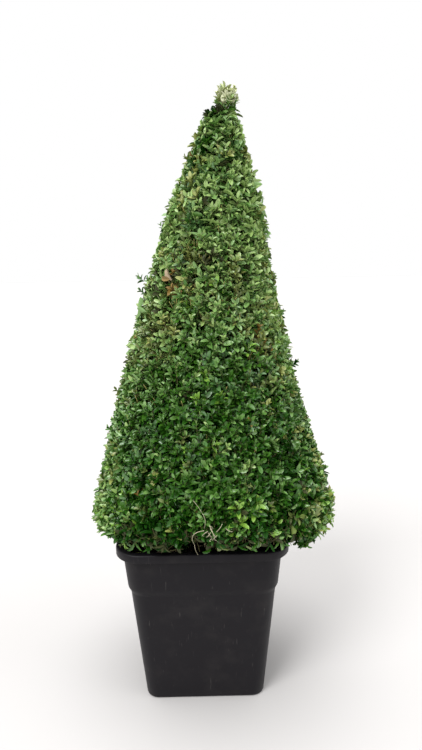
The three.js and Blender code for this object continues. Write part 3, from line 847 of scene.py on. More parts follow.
def bent_tube(path: Array, radii: Array, sides: int) -> tuple[Array, list[Array]]:
    """Sweeps a ring along a path, closed at both ends.

    Args:
        path: points along the middle.
        radii: a radius for each point and side, or one for each point.
        sides: how many sides the ring has.

    Returns:
        The vertices and the faces.
    """
    tangent = unit(np.gradient(path, axis=0))
    across = np.zeros_like(path)
    spoke = np.cross(tangent[0], UP if abs(tangent[0][2]) < 0.9 else np.array([1.0, 0.0, 0.0]))
    for row, direction in enumerate(tangent):
        spoke = unit(spoke - direction * np.dot(spoke, direction))
        across[row] = spoke
    back = np.cross(tangent, across)
    angles = np.arange(sides) * 2 * math.pi / sides
    sized = radii if radii.ndim == 2 else np.repeat(radii[:, None], sides, axis=1)
    ring = (
        path[:, None, :]
        + across[:, None, :] * (np.cos(angles) * sized)[..., None]
        + back[:, None, :] * (np.sin(angles) * sized)[..., None]
    )
    count = len(path)
    points = np.concatenate([ring.reshape(-1, 3), path[:1], path[-1:]])
    quads = []
    triangles = []
    for row in range(count - 1):
        for side in range(sides):
            far = (side + 1) % sides
            quads.append((row * sides + side, row * sides + far,
                          (row + 1) * sides + far, (row + 1) * sides + side))
    for side in range(sides):
        far = (side + 1) % sides
        triangles.append((count * sides, far, side))
        triangles.append((count * sides + 1, (count - 1) * sides + side, (count - 1) * sides + far))
    return points, [np.array(quads), np.array(triangles)]


def bezier(start: Array, bend: Array, end: Array, steps: int) -> Array:
    """Gives points along a curve that starts towards its bend and ends away from it."""
    share = np.linspace(0.0, 1.0, steps)[:, None]
    return (1 - share) ** 2 * start + 2 * share * (1 - share) * bend + share ** 2 * end


# Foliage masses

def level_out(points: Array) -> Array:
    """Gives the level directions from the crown's axis to points."""
    _, angle = CROWN.polar(points)
    return np.stack([np.cos(angle), np.sin(angle), np.zeros_like(angle)], axis=-1)


@dataclass(frozen=True)
class Patch:
    """A place on the crown where some tints are commoner."""

    z: float
    angle: float
    size: float
    tints: tuple[Tint, ...]
    strength: float = 0.85


@dataclass
class Crown:
    """The clipped cone: a dark core, twigs from the stem and sprays of leaves out to the surface."""

    twigs: int = 2550
    forks: int = 3
    fork_spread: float = 16.0 * MM
    deepest: float = 26.0 * MM
    core_inset: float = 40.0 * MM
    stray: float = 4.0 * MM
    right_stray: float = 3.0 * MM
    leaf_length: float = 17.2 * MM
    ragged: float = 14.0 * MM
    gaps: tuple[tuple[float, float, float], ...] = (
        (-137, 5.0, -0.012), (-126, 4.5, 0.020), (-114, 3.0, 0.020), (-99, 4.5, 0.032), (-76, 4.5, 0.026), (-63, 4.0, 0.020),
        (-150, 4.0, 0.014), (40, 5.0, 0.012), (95, 6.0, 0.014), (150, 5.0, 0.012),
    )
    larger_above: float = 0.3
    larger_aside: float = 0.13
    larger_below: float = 0.22
    seed: int = 42
    # The patches of shaded and deep green paint shade into hollows and dark places; those of light, fresh and
    # spring green are partly lighter growth and partly painted light; the amber, yellowing, olive and dried ones
    # are leaf colours.
    patches: tuple[Patch, ...] = (
        Patch(0.758, -111, 0.014, (Tint.YELLOWING, Tint.YELLOWING, Tint.OLIVE), 0.8),
        Patch(0.716, -124, 0.014, (Tint.AMBER, Tint.OLIVE, Tint.YELLOWING), 0.6),
        Patch(0.690, -140, 0.045, (Tint.OLIVE, Tint.YELLOWING, Tint.BROWN, Tint.LIGHT), 0.6),
        Patch(0.620, -150, 0.060, (Tint.OLIVE, Tint.OLIVE, Tint.LIGHT), 0.4),
        Patch(0.655, -24, 0.045, (Tint.YELLOWING, Tint.LIGHT, Tint.LIGHT, Tint.SPRING), 0.75),
        Patch(0.658, -40, 0.030, (Tint.LIGHT, Tint.SPRING, Tint.YELLOWING, Tint.LIGHT), 0.75),
        Patch(0.880, -158, 0.050, (Tint.LIGHT, Tint.FRESH, Tint.YELLOWING), 0.5),
        Patch(0.880, -22, 0.050, (Tint.LIGHT, Tint.YELLOWING, Tint.FRESH), 0.5),
        Patch(0.564, -27, 0.030, (Tint.YELLOWING, Tint.LIGHT, Tint.SPRING, Tint.FRESH), 0.5),
        Patch(0.693, -87, 0.018, (Tint.SPRING, Tint.LIGHT, Tint.FRESH), 0.65),
        Patch(0.726, -59, 0.028, (Tint.OLIVE, Tint.BROWN, Tint.DEEP, Tint.YELLOWING), 0.5),
        Patch(0.626, -54, 0.012, (Tint.AMBER, Tint.AMBER, Tint.OLIVE), 0.8),
        Patch(0.604, -40, 0.012, (Tint.AMBER, Tint.OLIVE, Tint.BROWN), 0.7),
        Patch(0.460, -40, 0.065, (Tint.DEEP, Tint.FOREST, Tint.SHADED), 0.4),
        Patch(0.560, -38, 0.030, (Tint.OLIVE, Tint.YELLOWING), 0.3),
        Patch(0.400, -20, 0.040, (Tint.OLIVE, Tint.YELLOWING, Tint.SPRING), 0.4),
        Patch(0.915, -143, 0.016, (Tint.SHADED, Tint.DEEP), 0.7),
        Patch(0.746, -91, 0.018, (Tint.SHADED, Tint.DEEP, Tint.BROWN), 0.5),
        Patch(0.678, -62, 0.018, (Tint.SHADED, Tint.DEEP, Tint.SHADED), 0.75),
        Patch(0.412, -48, 0.018, (Tint.SHADED, Tint.DEEP), 0.7),
        Patch(0.420, -36, 0.050, (Tint.SHADED, Tint.DEEP, Tint.FOREST), 0.5),
        Patch(0.700, -66, 0.036, (Tint.SHADED, Tint.DEEP, Tint.OLIVE), 0.3),
        Patch(0.438, -70, 0.012, (Tint.LIGHT, Tint.FRESH), 0.8),
        Patch(0.484, -85, 0.010, (Tint.LIGHT, Tint.FRESH), 0.9),
        Patch(0.395, -84, 0.010, (Tint.SPRING, Tint.MIDDLE), 0.8),
        Patch(0.365, -77, 0.014, (Tint.SPRING, Tint.MIDDLE), 0.75),
        Patch(0.384, -67, 0.016, (Tint.SPRING, Tint.SPRING, Tint.MIDDLE), 0.7),
        Patch(0.346, -61, 0.013, (Tint.SPRING, Tint.MIDDLE), 0.8),
        Patch(0.345, -168, 0.045, (Tint.FRESH, Tint.LIGHT, Tint.SPRING, Tint.MIDDLE), 0.6),
        Patch(0.370, -140, 0.030, (Tint.SPRING, Tint.FRESH, Tint.MIDDLE), 0.45),
        Patch(0.480, -100, 0.060, (Tint.SPRING, Tint.MIDDLE), 0.12),
        Patch(0.600, -80, 0.060, (Tint.SPRING, Tint.MIDDLE), 0.15),
        Patch(0.353, -120, 0.013, (Tint.SHADED,), 0.8),
        Patch(0.340, -103, 0.013, (Tint.SHADED,), 0.8),
        Patch(0.360, -88, 0.010, (Tint.SHADED,), 0.8),
        Patch(0.968, -118, 0.008, (Tint.SHADED,), 0.95),
        Patch(0.976, -150, 0.009, (Tint.SHADED,), 0.95),
        Patch(0.353, -46, 0.030, (Tint.OLIVE, Tint.SHADED, Tint.DEEP), 0.6),
        Patch(0.366, -97, 0.024, (Tint.OLIVE, Tint.SHADED, Tint.DEEP), 0.5),
        Patch(0.340, -68, 0.016, (Tint.SHADED, Tint.DEEP, Tint.SHADED), 0.8),
        Patch(0.620, 70, 0.016, (Tint.DRY, Tint.BROWN), 0.8),
        Patch(0.450, 130, 0.022, (Tint.YELLOWING, Tint.OLIVE), 0.6),
        Patch(0.790, 40, 0.014, (Tint.AMBER, Tint.OLIVE), 0.7),
        Patch(0.400, 35, 0.016, (Tint.LIGHT, Tint.FRESH), 0.9),
    )
    twiggy: tuple[tuple[float, float, float, int], ...] = (
        (0.700, -138, 0.035, 90), (0.758, -111, 0.014, 20), (0.614, -45, 0.018, 34), (0.570, -150, 0.040, 40),
        (0.690, -72, 0.035, 40), (0.780, -100, 0.020, 16), (0.372, -95, 0.014, 14),
        (0.640, 60, 0.030, 40), (0.480, 120, 0.040, 40), (0.800, 170, 0.030, 24),
    )
    droops: tuple[tuple[float, float, Tint], ...] = (
        (-117, 0.333, Tint.OLIVE), (-113, 0.327, Tint.BROWN), (-125, 0.334, Tint.FOREST),
        (-107, 0.325, Tint.BROWN), (-136, 0.311, Tint.SPRING), (-141, 0.306, Tint.MIDDLE),
        (-131, 0.313, Tint.FOREST), (-146, 0.305, Tint.FRESH), (-121, 0.322, Tint.DEEP),
        (-88, 0.334, Tint.OLIVE), (-84, 0.326, Tint.SPRING), (-92, 0.326, Tint.FOREST),
        (-76, 0.324, Tint.OLIVE), (-70, 0.330, Tint.BROWN), (-64, 0.324, Tint.DEEP),
        (-58, 0.322, Tint.MIDDLE),
    )
    # The low sprigs on the left, below about 0.39 m, are dealt mostly light and fresh greens as painted light on
    # the lit left skirt.
    sprigs: tuple[tuple[float, float, float, Tint], ...] = (
        (0.571, -3, 0.010, Tint.DEEP), (0.657, -3, 0.004, Tint.FOREST), (0.720, -176, 0.009, Tint.MIDDLE),
        (0.699, -174, 0.008, Tint.FOREST), (0.905, -171, 0.005, Tint.YELLOWING), (0.530, -177, 0.006, Tint.OLIVE),
        (0.462, -177, 0.005, Tint.FOREST), (0.404, -2, 0.007, Tint.OLIVE), (0.376, -2, 0.006, Tint.MIDDLE),
        (0.640, 92, 0.006, Tint.FOREST), (0.450, 84, 0.006, Tint.MIDDLE), (0.800, 178, 0.005, Tint.MIDDLE),
        (0.365, -172, -0.003, Tint.FRESH), (0.345, -166, -0.004, Tint.LIGHT), (0.330, -158, -0.003, Tint.SPRING),
        (0.322, -148, -0.003, Tint.FRESH), (0.352, -154, -0.003, Tint.LIGHT), (0.340, 176, -0.004, Tint.FRESH),
        (0.318, -168, -0.004, Tint.FRESH), (0.312, -156, -0.003, Tint.LIGHT), (0.385, -164, 0.0, Tint.OLIVE),
        (0.338, -146, -0.003, Tint.FRESH), (0.372, -160, -0.003, Tint.LIGHT), (0.328, -140, -0.003, Tint.FRESH),
        (0.600, -86, 0.006, Tint.MIDDLE), (0.760, 20, 0.005, Tint.FRESH), (0.500, 140, 0.006, Tint.FRESH),
    )
    speck_size: float = 6.0 * MM
    specks: tuple[tuple[float, float], ...] = (
        (0.391, -129), (0.394, -113), (0.836, -117), (0.8446, -82), (0.901, -160), (0.525, -150),
        (0.374, -99), (0.730, -128), (0.610, -45), (0.560, 60), (0.700, 110), (0.480, 20), (0.860, 90),
    )

    def places(self, rng: np.random.Generator) -> tuple[Array, Array, Array]:
        """Spreads the twigs evenly by area over the flank, with more along the hanging skirt.

        Args:
            rng: the seeded source of chance.

        Returns:
            Heights, directions and how much each twig lifts.
        """
        flank = int(self.twigs * 0.88)
        share = (np.arange(flank) + 0.5) / flank
        wide = CROWN.wide_reach ** 2
        top = CROWN.top_reach ** 2
        radius = np.sqrt(top + (wide - top) * share)
        down = (radius - CROWN.top_reach) / (CROWN.wide_reach - CROWN.top_reach)
        height = CROWN.top_z - 0.004 + (CROWN.wide_z + 0.006 - CROWN.top_z) * down
        angle = np.arange(flank) * GOLDEN_TURN + rng.normal(0.0, 0.03, flank)
        skirt = self.twigs - flank
        around = (np.arange(skirt) + rng.uniform(0.2, 0.8, skirt)) / skirt * 2 * math.pi
        low = CROWN.low_edge(around) + rng.uniform(0.004, 0.036, skirt)
        lift = np.concatenate([np.full(flank, 1.35), np.full(skirt, -0.35)])
        return np.concatenate([height, low]), np.concatenate([angle, around]), lift

    def size_share(self, z: Array, angle: Array) -> Array:
        """Gives the leaves' size by place: finest half way up the front, larger all round that."""
        above = self.larger_above * np.clip((z - 0.55) / 0.35, 0.0, 1.0)
        aside = self.larger_aside * np.abs(np.cos(angle)) ** 3
        below = self.larger_below * np.clip((0.50 - z) / 0.12, 0.0, 1.0)
        return 0.85 + above + aside + below

    def tint(self, z: Array, angle: Array, depth: Array, rng: np.random.Generator) -> Array:
        """Deals a tint to each spray by its place, with painted light and shade: lighter higher up and on the
        flanks, darker deep in, low down and under the skirt.

        Args:
            z: the sprays' heights.
            angle: their directions from the axis.
            depth: how far each lies below the clipped surface.
            rng: the seeded source of chance.

        Returns:
            The index of each spray's tint.
        """
        # Painted light and shade: drift, flank, rise and right lighten the greens, and depth, under and fall darken
        # them, less so on the flanks and the left skirt.
        drift = (
            np.sin(3.0 * angle + 14.0 * z + 0.6)
            + np.sin(-2.0 * angle + 23.0 * z + 2.0)
            + 0.8 * np.sin(7.0 * angle + 41.0 * z + 4.1)
        ) / 2.8
        flank = np.abs(np.cos(angle)) ** 4.5
        rise = np.clip((z - 0.53) / 0.24, 0.0, 1.0) - 0.26 * np.clip((z - 0.83) / 0.08, 0.0, 1.0)
        fall = np.clip((0.49 - z) / 0.12, 0.0, 1.0)
        side = 0.27 + 0.33 * rise
        right = np.clip((np.cos(angle) - 0.68) / 0.18, 0.0, 1.0)
        light = side * flank + 0.30 * rise * right + (0.07 + 0.10 * rise) * drift + 0.60 * rise * (1 - 0.35 * flank)
        under = np.clip((0.368 - z) / 0.032, 0.0, 1.0)
        left = np.clip((-np.cos(angle) - 0.68) / 0.18, 0.0, 1.0)
        shade = 0.35 * np.clip(depth / 0.03, 0.0, 1.0) + (0.6 * under + 0.17 * fall) * (1 - 0.6 * flank)
        shade = shade - (0.44 * under + 0.2 * fall) * left
        score = 0.52 + light + rng.normal(0.0, 1.0, len(z)) * (0.09 + 0.05 * rise) - shade
        bands = ((0.06, Tint.SHADED), (0.28, Tint.DEEP), (0.48, Tint.FOREST), (0.72, Tint.MIDDLE),
                 (0.92, Tint.FRESH), (9.0, Tint.LIGHT))
        tint = np.zeros(len(z), dtype=int)
        floor = -9.0
        for ceiling, choice in bands:
            tint[(score >= floor) & (score < ceiling)] = TINTS.index(choice)
            floor = ceiling
        chance = rng.uniform(0.0, 1.0, len(z))
        cool = np.sin(2.0 * angle - 17.0 * z + 1.2) > 0.1
        tint[(chance < 0.11) & cool & (flank < 0.5)] = TINTS.index(Tint.BLUISH)
        yellow = 0.04 + 0.30 * flank
        tint[chance > 1.0 - yellow * 0.5] = TINTS.index(Tint.OLIVE)
        tint[chance > 1.0 - yellow * 0.12 - 0.07 * right] = TINTS.index(Tint.YELLOWING)
        # Browned leaves are commoner under the skirt, away from the flanks and the left: partly real browning,
        # partly painted shade.
        brown = 0.314 + 0.46 * under * (1 - flank) * (1 - left)
        tint[(chance > 0.310) & (chance < brown)] = TINTS.index(Tint.BROWN)
        for patch in self.patches:
            along = (z - patch.z) / patch.size
            reach = np.maximum(CROWN.reach(z, angle), 0.02)
            across = turn_between(angle, math.radians(patch.angle)) * reach / patch.size
            near = patch.strength * np.exp(-along ** 2 - across ** 2)
            chosen = rng.uniform(0.0, 1.0, len(z)) < near
            options = np.array([TINTS.index(choice) for choice in patch.tints])
            tint[chosen] = rng.choice(options, int(chosen.sum()))
        return tint

    def speckled(self, tint: Array, z: Array, angle: Array, rng: np.random.Generator) -> Array:
        """Dries the tip pair of single sprays near the small amber places.

        Args:
            tint: the index of each tip pair's tint.
            z: the sprays' heights.
            angle: their directions from the axis.
            rng: the seeded source of chance.

        Returns:
            The index of each tip pair's tint.
        """
        tint = tint.copy()
        options = np.array([TINTS.index(choice) for choice in (Tint.AMBER, Tint.OLIVE, Tint.AMBER)])
        for spot_z, spot_angle in self.specks:
            reach = np.maximum(CROWN.reach(z, angle), 0.02)
            away = np.hypot(z - spot_z, turn_between(angle, math.radians(spot_angle)) * reach)
            tint[away < self.speck_size] = rng.choice(options)
        stray = rng.uniform(0.0, 1.0, len(tint)) < 0.006
        tint[stray] = rng.choice(options, int(stray.sum()))
        return tint

    def sprays(self, rng: np.random.Generator) -> tuple[Sprays, Array, Array]:
        """Forks each twig near the surface and ends the forks in sprays.

        Args:
            rng: the seeded source of chance.

        Returns:
            The sprays, and where the twigs that bear them leave the stem and fork.
        """
        z, angle, lift = self.places(rng)
        count = len(z)
        full = CROWN.reach(z, angle)
        inner = np.maximum(full - self.core_inset - 0.01, 0.002)
        knee = CROWN.at(z, angle, inner)
        stem = CROWN.at(np.maximum(z - inner * 0.3, 0.345), angle, np.zeros(count))
        made = []
        for fork in range(self.forks):
            swing = (fork + rng.uniform(-0.3, 0.3, count)) * 2 * math.pi / self.forks + z * 90.0
            aside = self.fork_spread * rng.uniform(0.4, 1.1, count)
            turn = angle + aside * np.cos(swing) / np.maximum(full, 0.03)
            height = z + aside * np.sin(swing)
            depth = self.deepest * rng.uniform(0.0, 1.0, count) ** 1.7 + 0.0055
            depth = depth - self.right_stray * np.maximum(np.cos(turn), 0.0)
            edge = np.minimum(depth, 0.6 * CROWN.reach(height, turn))
            tip = CROWN.at(height, turn, CROWN.reach(height, turn) - edge)
            out = np.stack([np.cos(turn), np.sin(turn), lift], axis=-1)
            out = unit(unit(out) + rng.normal(0.0, 0.3, (count, 3)))
            size = self.leaf_length * rng.uniform(0.76, 1.1, count) * self.size_share(height, turn)
            tint = self.tint(height, turn, depth, rng)
            fresh = self.speckled(younger(tint, 0.45, rng), height, turn, rng)
            made.append(Sprays(tip - out * 0.030, tip, size, tint, fresh))
        whole = made[0]
        for more in made[1:]:
            whole = whole.with_more(more)
        return whole, stem, knee

    def hem(self, angle: Array) -> Array:
        """Gives the ragged lower edge of the leaves, with dark gaps between the hanging sprays."""
        front = np.maximum(-np.sin(angle), 0.0) ** 2
        waves = 0.5 * np.sin(17.0 * angle + 2.2) + 0.3 * np.sin(31.0 * angle) + 0.2 * np.sin(53.0 * angle + 1.0)
        edge = CROWN.low_edge(angle) + self.ragged * (0.5 + waves) * (0.35 + 0.65 * front)
        for middle, half, rise in self.gaps:
            edge = edge + rise * np.exp(-(turn_between(angle, math.radians(middle)) / math.radians(half)) ** 2)
        return edge

    def drooping(self, rng: np.random.Generator) -> Leaves:
        """Hangs larger, duller sprays out of the hem, in front of the gaps.

        Args:
            rng: the seeded source of chance.

        Returns:
            The leaves.
        """
        placed = np.array([(angle, z, TINTS.index(tint)) for angle, z, tint in self.droops])
        count = 44
        angle = np.concatenate([np.radians(placed[:, 0]), rng.uniform(-math.pi, math.pi, count)])
        rise = 0.020 * np.maximum(-np.sin(angle), 0.0)
        z = CROWN.low_z + 0.022 + rise + rng.uniform(-0.004, 0.010, len(angle))
        z[:len(placed)] = placed[:, 1]
        dull = rng.choice([TINTS.index(t) for t in (Tint.BROWN, Tint.FOREST, Tint.DEEP, Tint.OLIVE)], count)
        tint = np.concatenate([placed[:, 2].astype(int), dull])
        start = CROWN.at(z + 0.014, angle, CROWN.reach(z, angle) - 0.026)
        tip = CROWN.at(z, angle, CROWN.reach(z, angle) - 0.012)
        size = self.leaf_length * rng.uniform(1.1, 1.35, len(angle))
        sprays = Sprays(start, tip, size, tint, tint)
        leaves = sprays.leaves(Habit(pairs=3, spacing=4.0 * MM, width_share=0.36), rng)
        _, turn = CROWN.polar(leaves.tips())
        reach = CROWN.polar(leaves.tips())[0] < CROWN.reach(leaves.tips()[:, 2], turn) - 0.002
        clear = POT.shows_rim(leaves.tips()) & POT.shows_rim(leaves.root) & ~LOBE.holds(leaves.tips())
        return leaves.kept(clear & reach)

    def straying(self, rng: np.random.Generator) -> Leaves:
        """Lets single sprigs stand out of the clipped side.

        Args:
            rng: the seeded source of chance.

        Returns:
            The leaves.
        """
        z, angle, beyond = (np.array([sprig[k] for sprig in self.sprigs]) for k in range(3))
        angle = np.radians(angle)
        tint = np.array([TINTS.index(sprig[3]) for sprig in self.sprigs])
        tip = CROWN.at(z, angle, CROWN.reach(z, angle) + beyond - 0.004)
        start = CROWN.at(z - 0.016, angle, CROWN.reach(z, angle) - 0.012)
        size = self.leaf_length * np.where(z < 0.4, 1.1, 0.8)
        return Sprays(start, tip, size, tint, YOUNGER[tint]).leaves(Habit(pairs=3), rng)

    def notch(self, rng: np.random.Generator) -> Leaves:
        """Grows the leaves along the cut edge beside the tuft, tinted dark as painted shade.

        Args:
            rng: the seeded source of chance.

        Returns:
            The leaves.
        """
        count = 70
        share = rng.uniform(0.0, 1.0, count)
        below = 0.018 * rng.uniform(0.0, 1.0, count) * (0.25 + 0.75 * share)
        tip = np.stack([0.018 + 0.027 * share, CROWN.axis_y + rng.uniform(-0.022, 0.018, count),
                        0.9705 + 0.011 * share - below], axis=-1)
        out = unit(np.array([-0.2, -0.2, 0.9]) + rng.normal(0.0, 0.3, (count, 3)))
        # Painted shade: the notch's leaves alternate the shaded green with the dull dark browned olive.
        tint = np.where(np.arange(count) % 3 == 0, TINTS.index(Tint.SHADED), TINTS.index(Tint.BROWN))
        return Sprays(tip - out * 0.02, tip, np.full(count, 0.010), tint, tint).leaves(Habit(pairs=2), rng)

    def caught(self) -> Leaves:
        """Lays the dead, folded leaf that is caught in the left flank.

        Returns:
            The leaf, as its pale upper face and the brown one folded under it.
        """
        angle = np.radians((-133.0, -127.0))
        z = np.array([0.738, 0.722])
        root = CROWN.at(z, angle, CROWN.reach(z, angle) + 0.001)
        out = np.stack([np.cos(angle), np.sin(angle), np.zeros(2)], axis=-1)
        aside = np.stack([-np.sin(angle), np.cos(angle), np.zeros(2)], axis=-1)
        along = unit(aside * np.array([[0.45], [-0.9]]) + UP * np.array([[-1.0], [0.05]]) + out * 0.1)
        normal = unit(out - along * np.sum(along * out, axis=1)[:, None])
        tint = np.array([TINTS.index(Tint.DRY), TINTS.index(Tint.AMBER)])
        return Leaves(root, along, normal, np.array([0.021, 0.018]), np.array([0.0075, 0.008]),
                      np.array([2.0, 1.6]), tint)

    def hanging(self, rng: np.random.Generator) -> Sprays:
        """Grows sprays that hang under the skirt, over the compost and behind the rim, in dark tints as painted
        shade.

        Args:
            rng: the seeded source of chance.

        Returns:
            The sprays.
        """
        count = 420
        angle = rng.uniform(-math.pi, math.pi, count)
        radius = 0.180 * np.sqrt(rng.uniform(0.16, 1.0, count))
        z = 0.320 + rng.uniform(-0.022, 0.022, count)
        tip = CROWN.at(z, angle, radius)
        inside = np.max(np.abs(tip[:, :2]), axis=1) < POT.half(POT.height) - 0.014
        tip[inside, 2] -= rng.uniform(0.0, 0.028, int(inside.sum()))
        out = np.stack([np.cos(angle), np.sin(angle), rng.uniform(-0.9, 0.3, count)], axis=-1)
        out = unit(out + rng.normal(0.0, 0.3, (count, 3)))
        # Painted shade: the sprays under the skirt get dark greens, and most outer ones the shaded and browned
        # tints, so the gap above the rim reads dark.
        choices = [Tint.SHADED, Tint.DEEP, Tint.OLIVE, Tint.FOREST, Tint.BROWN]
        tint = rng.choice([TINTS.index(c) for c in choices], count, p=[0.34, 0.3, 0.14, 0.16, 0.06])
        outer = (radius > 0.11) & (rng.uniform(0.0, 1.0, count) < 0.75)
        tint[outer] = TINTS.index(Tint.SHADED)
        tint[outer & (np.arange(count) % 5 < 3)] = TINTS.index(Tint.BROWN)
        size = self.leaf_length * rng.uniform(0.8, 1.1, count)
        return Sprays(tip - out * 0.03, tip, size, tint, younger(tint, 0.2, rng))

    def cut_twigs(self, rng: np.random.Generator) -> bpy.types.Mesh:
        """Grows the pale clipped twig ends that show between the leaves, most of them in places.

        Args:
            rng: the seeded source of chance.

        Returns:
            The mesh.
        """
        spread = 420
        z = CROWN.wide_z + (CROWN.top_z - 0.03 - CROWN.wide_z) * rng.uniform(0.0, 1.0, spread) ** 1.5
        angle = rng.uniform(-math.pi, math.pi, spread)
        for spot_z, spot_angle, size, count in self.twiggy:
            z = np.concatenate([z, spot_z + rng.normal(0.0, size, count)])
            reach = float(CROWN.reach(np.array(spot_z), np.array(0.0)))
            turns = math.radians(spot_angle) + rng.normal(0.0, size / reach, count)
            angle = np.concatenate([angle, turns])
        count = len(z)
        depth = rng.uniform(0.002, 0.016, count)
        tip = CROWN.at(z, angle, np.maximum(CROWN.reach(z, angle) - depth, 0.004))
        out = np.stack([np.cos(angle), np.sin(angle), rng.uniform(0.6, 2.4, count)], axis=-1)
        out = unit(unit(out) + rng.normal(0.0, 0.16, (count, 3)))
        start = tip - out * rng.uniform(0.018, 0.040, count)[:, None]
        keep = CROWN.holds(tip) & (start[:, 2] > CROWN.low_edge(angle) + 0.012)
        return tapered_rods("cut_twigs", start[keep], tip[keep], np.full(keep.sum(), 0.8 * MM), 0.75)

    def core(self) -> bpy.types.Mesh:
        """Makes the lumpy inner mass of the dense twigs, dark in colour as painted shade deep inside the bush.

        Returns:
            The mesh.
        """
        rng = np.random.default_rng(self.seed + 1)
        around = 72
        levels = 60
        angle = np.arange(around) / around * 2 * math.pi
        rise = np.linspace(0.0, 1.0, levels)
        edge = CROWN.low_edge(angle) + 0.030
        z = edge[None, :] + (CROWN.top_z - 0.012 - edge[None, :]) * rise[:, None]
        radius = CROWN.reach(z, angle[None, :])
        inset = np.minimum(self.core_inset, 0.55 * radius)
        lumps = rng.uniform(-0.004, 0.004, z.shape)
        ring = CROWN.at(z, np.broadcast_to(angle, z.shape), radius - inset + lumps)
        points = np.concatenate([
            ring.reshape(-1, 3), CROWN.at(np.array([0.345]), np.zeros(1), np.zeros(1)),
            CROWN.at(np.array([CROWN.top_z - 0.010]), np.zeros(1), np.zeros(1)),
        ])
        row, side = np.meshgrid(np.arange(levels - 1), np.arange(around), indexing="ij")
        far = (side + 1) % around
        quads = np.stack([row * around + side, row * around + far, (row + 1) * around + far,
                          (row + 1) * around + side], axis=-1).reshape(-1, 4)
        sides = np.arange(around)
        nexts = (sides + 1) % around
        under = np.stack([nexts, sides, np.full(around, levels * around)], axis=-1)
        top = (levels - 1) * around
        over = np.stack([top + sides, top + nexts, np.full(around, levels * around + 1)], axis=-1)
        return mesh_from("crown_core", points, [quads, np.concatenate([under, over])])

    def build(
        self, wood: bpy.types.Material, cut: bpy.types.Material, inner: bpy.types.Material
    ) -> None:
        """Builds the crown's pieces.

        Args:
            wood: the twigs' finish.
            cut: the clipped twig ends' finish.
            inner: the core's finish.
        """
        rng = np.random.default_rng(self.seed)
        sprays, stem, knee = self.sprays(rng)
        leaves = sprays.leaves(Habit(), rng)
        out = level_out(leaves.tips())
        low = np.clip((0.40 - leaves.tips()[:, 2:]) / 0.06, 0.0, 1.0)
        reach = 0.3 + 2.1 * rng.uniform(0.0, 1.0, (len(out), 1)) ** (2.5 - 0.3 * low)
        reach = reach * (1.0 - 0.45 * np.maximum(out[:, 1:2], 0.0))
        stray = self.stray * reach + self.right_stray * np.maximum(out[:, :1], 0.0)
        turn = np.arctan2(out[:, 1], out[:, 0])
        above = np.minimum(leaves.root[:, 2], leaves.tips()[:, 2] + 0.004) > self.hem(turn)
        leaves = leaves.kept(CROWN.holds(leaves.tips() - out * stray) & above)
        leaves = leaves.with_more(self.notch(rng)).with_more(self.caught())
        leaves = leaves.with_more(self.drooping(rng)).with_more(self.straying(rng))
        under = self.hanging(rng)
        low = under.leaves(Habit(pairs=3), rng)
        radius, angle = CROWN.polar(low.tips())
        tips = low.tips()
        over_rim = np.max(np.abs(tips[:, :2]), axis=1) > POT.half(POT.height) - 0.006
        clear = (tips[:, 2] > 0.271) & ~(over_rim & (tips[:, 2] < POT.height + 0.004))
        outside = np.max(np.abs(tips[:, :2]), axis=1) > POT.half(POT.height) - 0.012
        clear &= ~outside | (POT.shows_rim(tips) & POT.shows_rim(low.root))
        clear &= (tips[:, 1] > -0.150) | (tips[:, 2] > self.hem(angle) + 0.006)
        leaves = leaves.with_more(low.kept(clear & (radius < CROWN.reach(tips[:, 2], angle) - 0.004)))
        add_leaves("crown", leaves, ("crown",))
        shoots = sprays.with_more(under)
        radius, angle = CROWN.polar(shoots.start)
        inside = radius < CROWN.reach(shoots.start[:, 2], angle) - 0.012
        shoots = shoots.kept(inside & POT.shows_rim(shoots.tip, 1.0) & POT.shows_rim(shoots.start, 1.0))
        foots = np.concatenate([stem, shoots.start])
        ends = np.concatenate([knee, shoots.tip])
        thick = np.concatenate([np.full(len(knee), 1.5 * MM), np.full(len(shoots.tip), 0.75 * MM)])
        add_piece("crown_twigs", tapered_rods("crown_twigs", foots, ends, thick, 0.6), wood,
                  ("crown",))
        add_piece("crown_cut_twigs", self.cut_twigs(rng), cut, ("crown",))
        add_piece("crown_core", self.core(), inner, ("crown",))


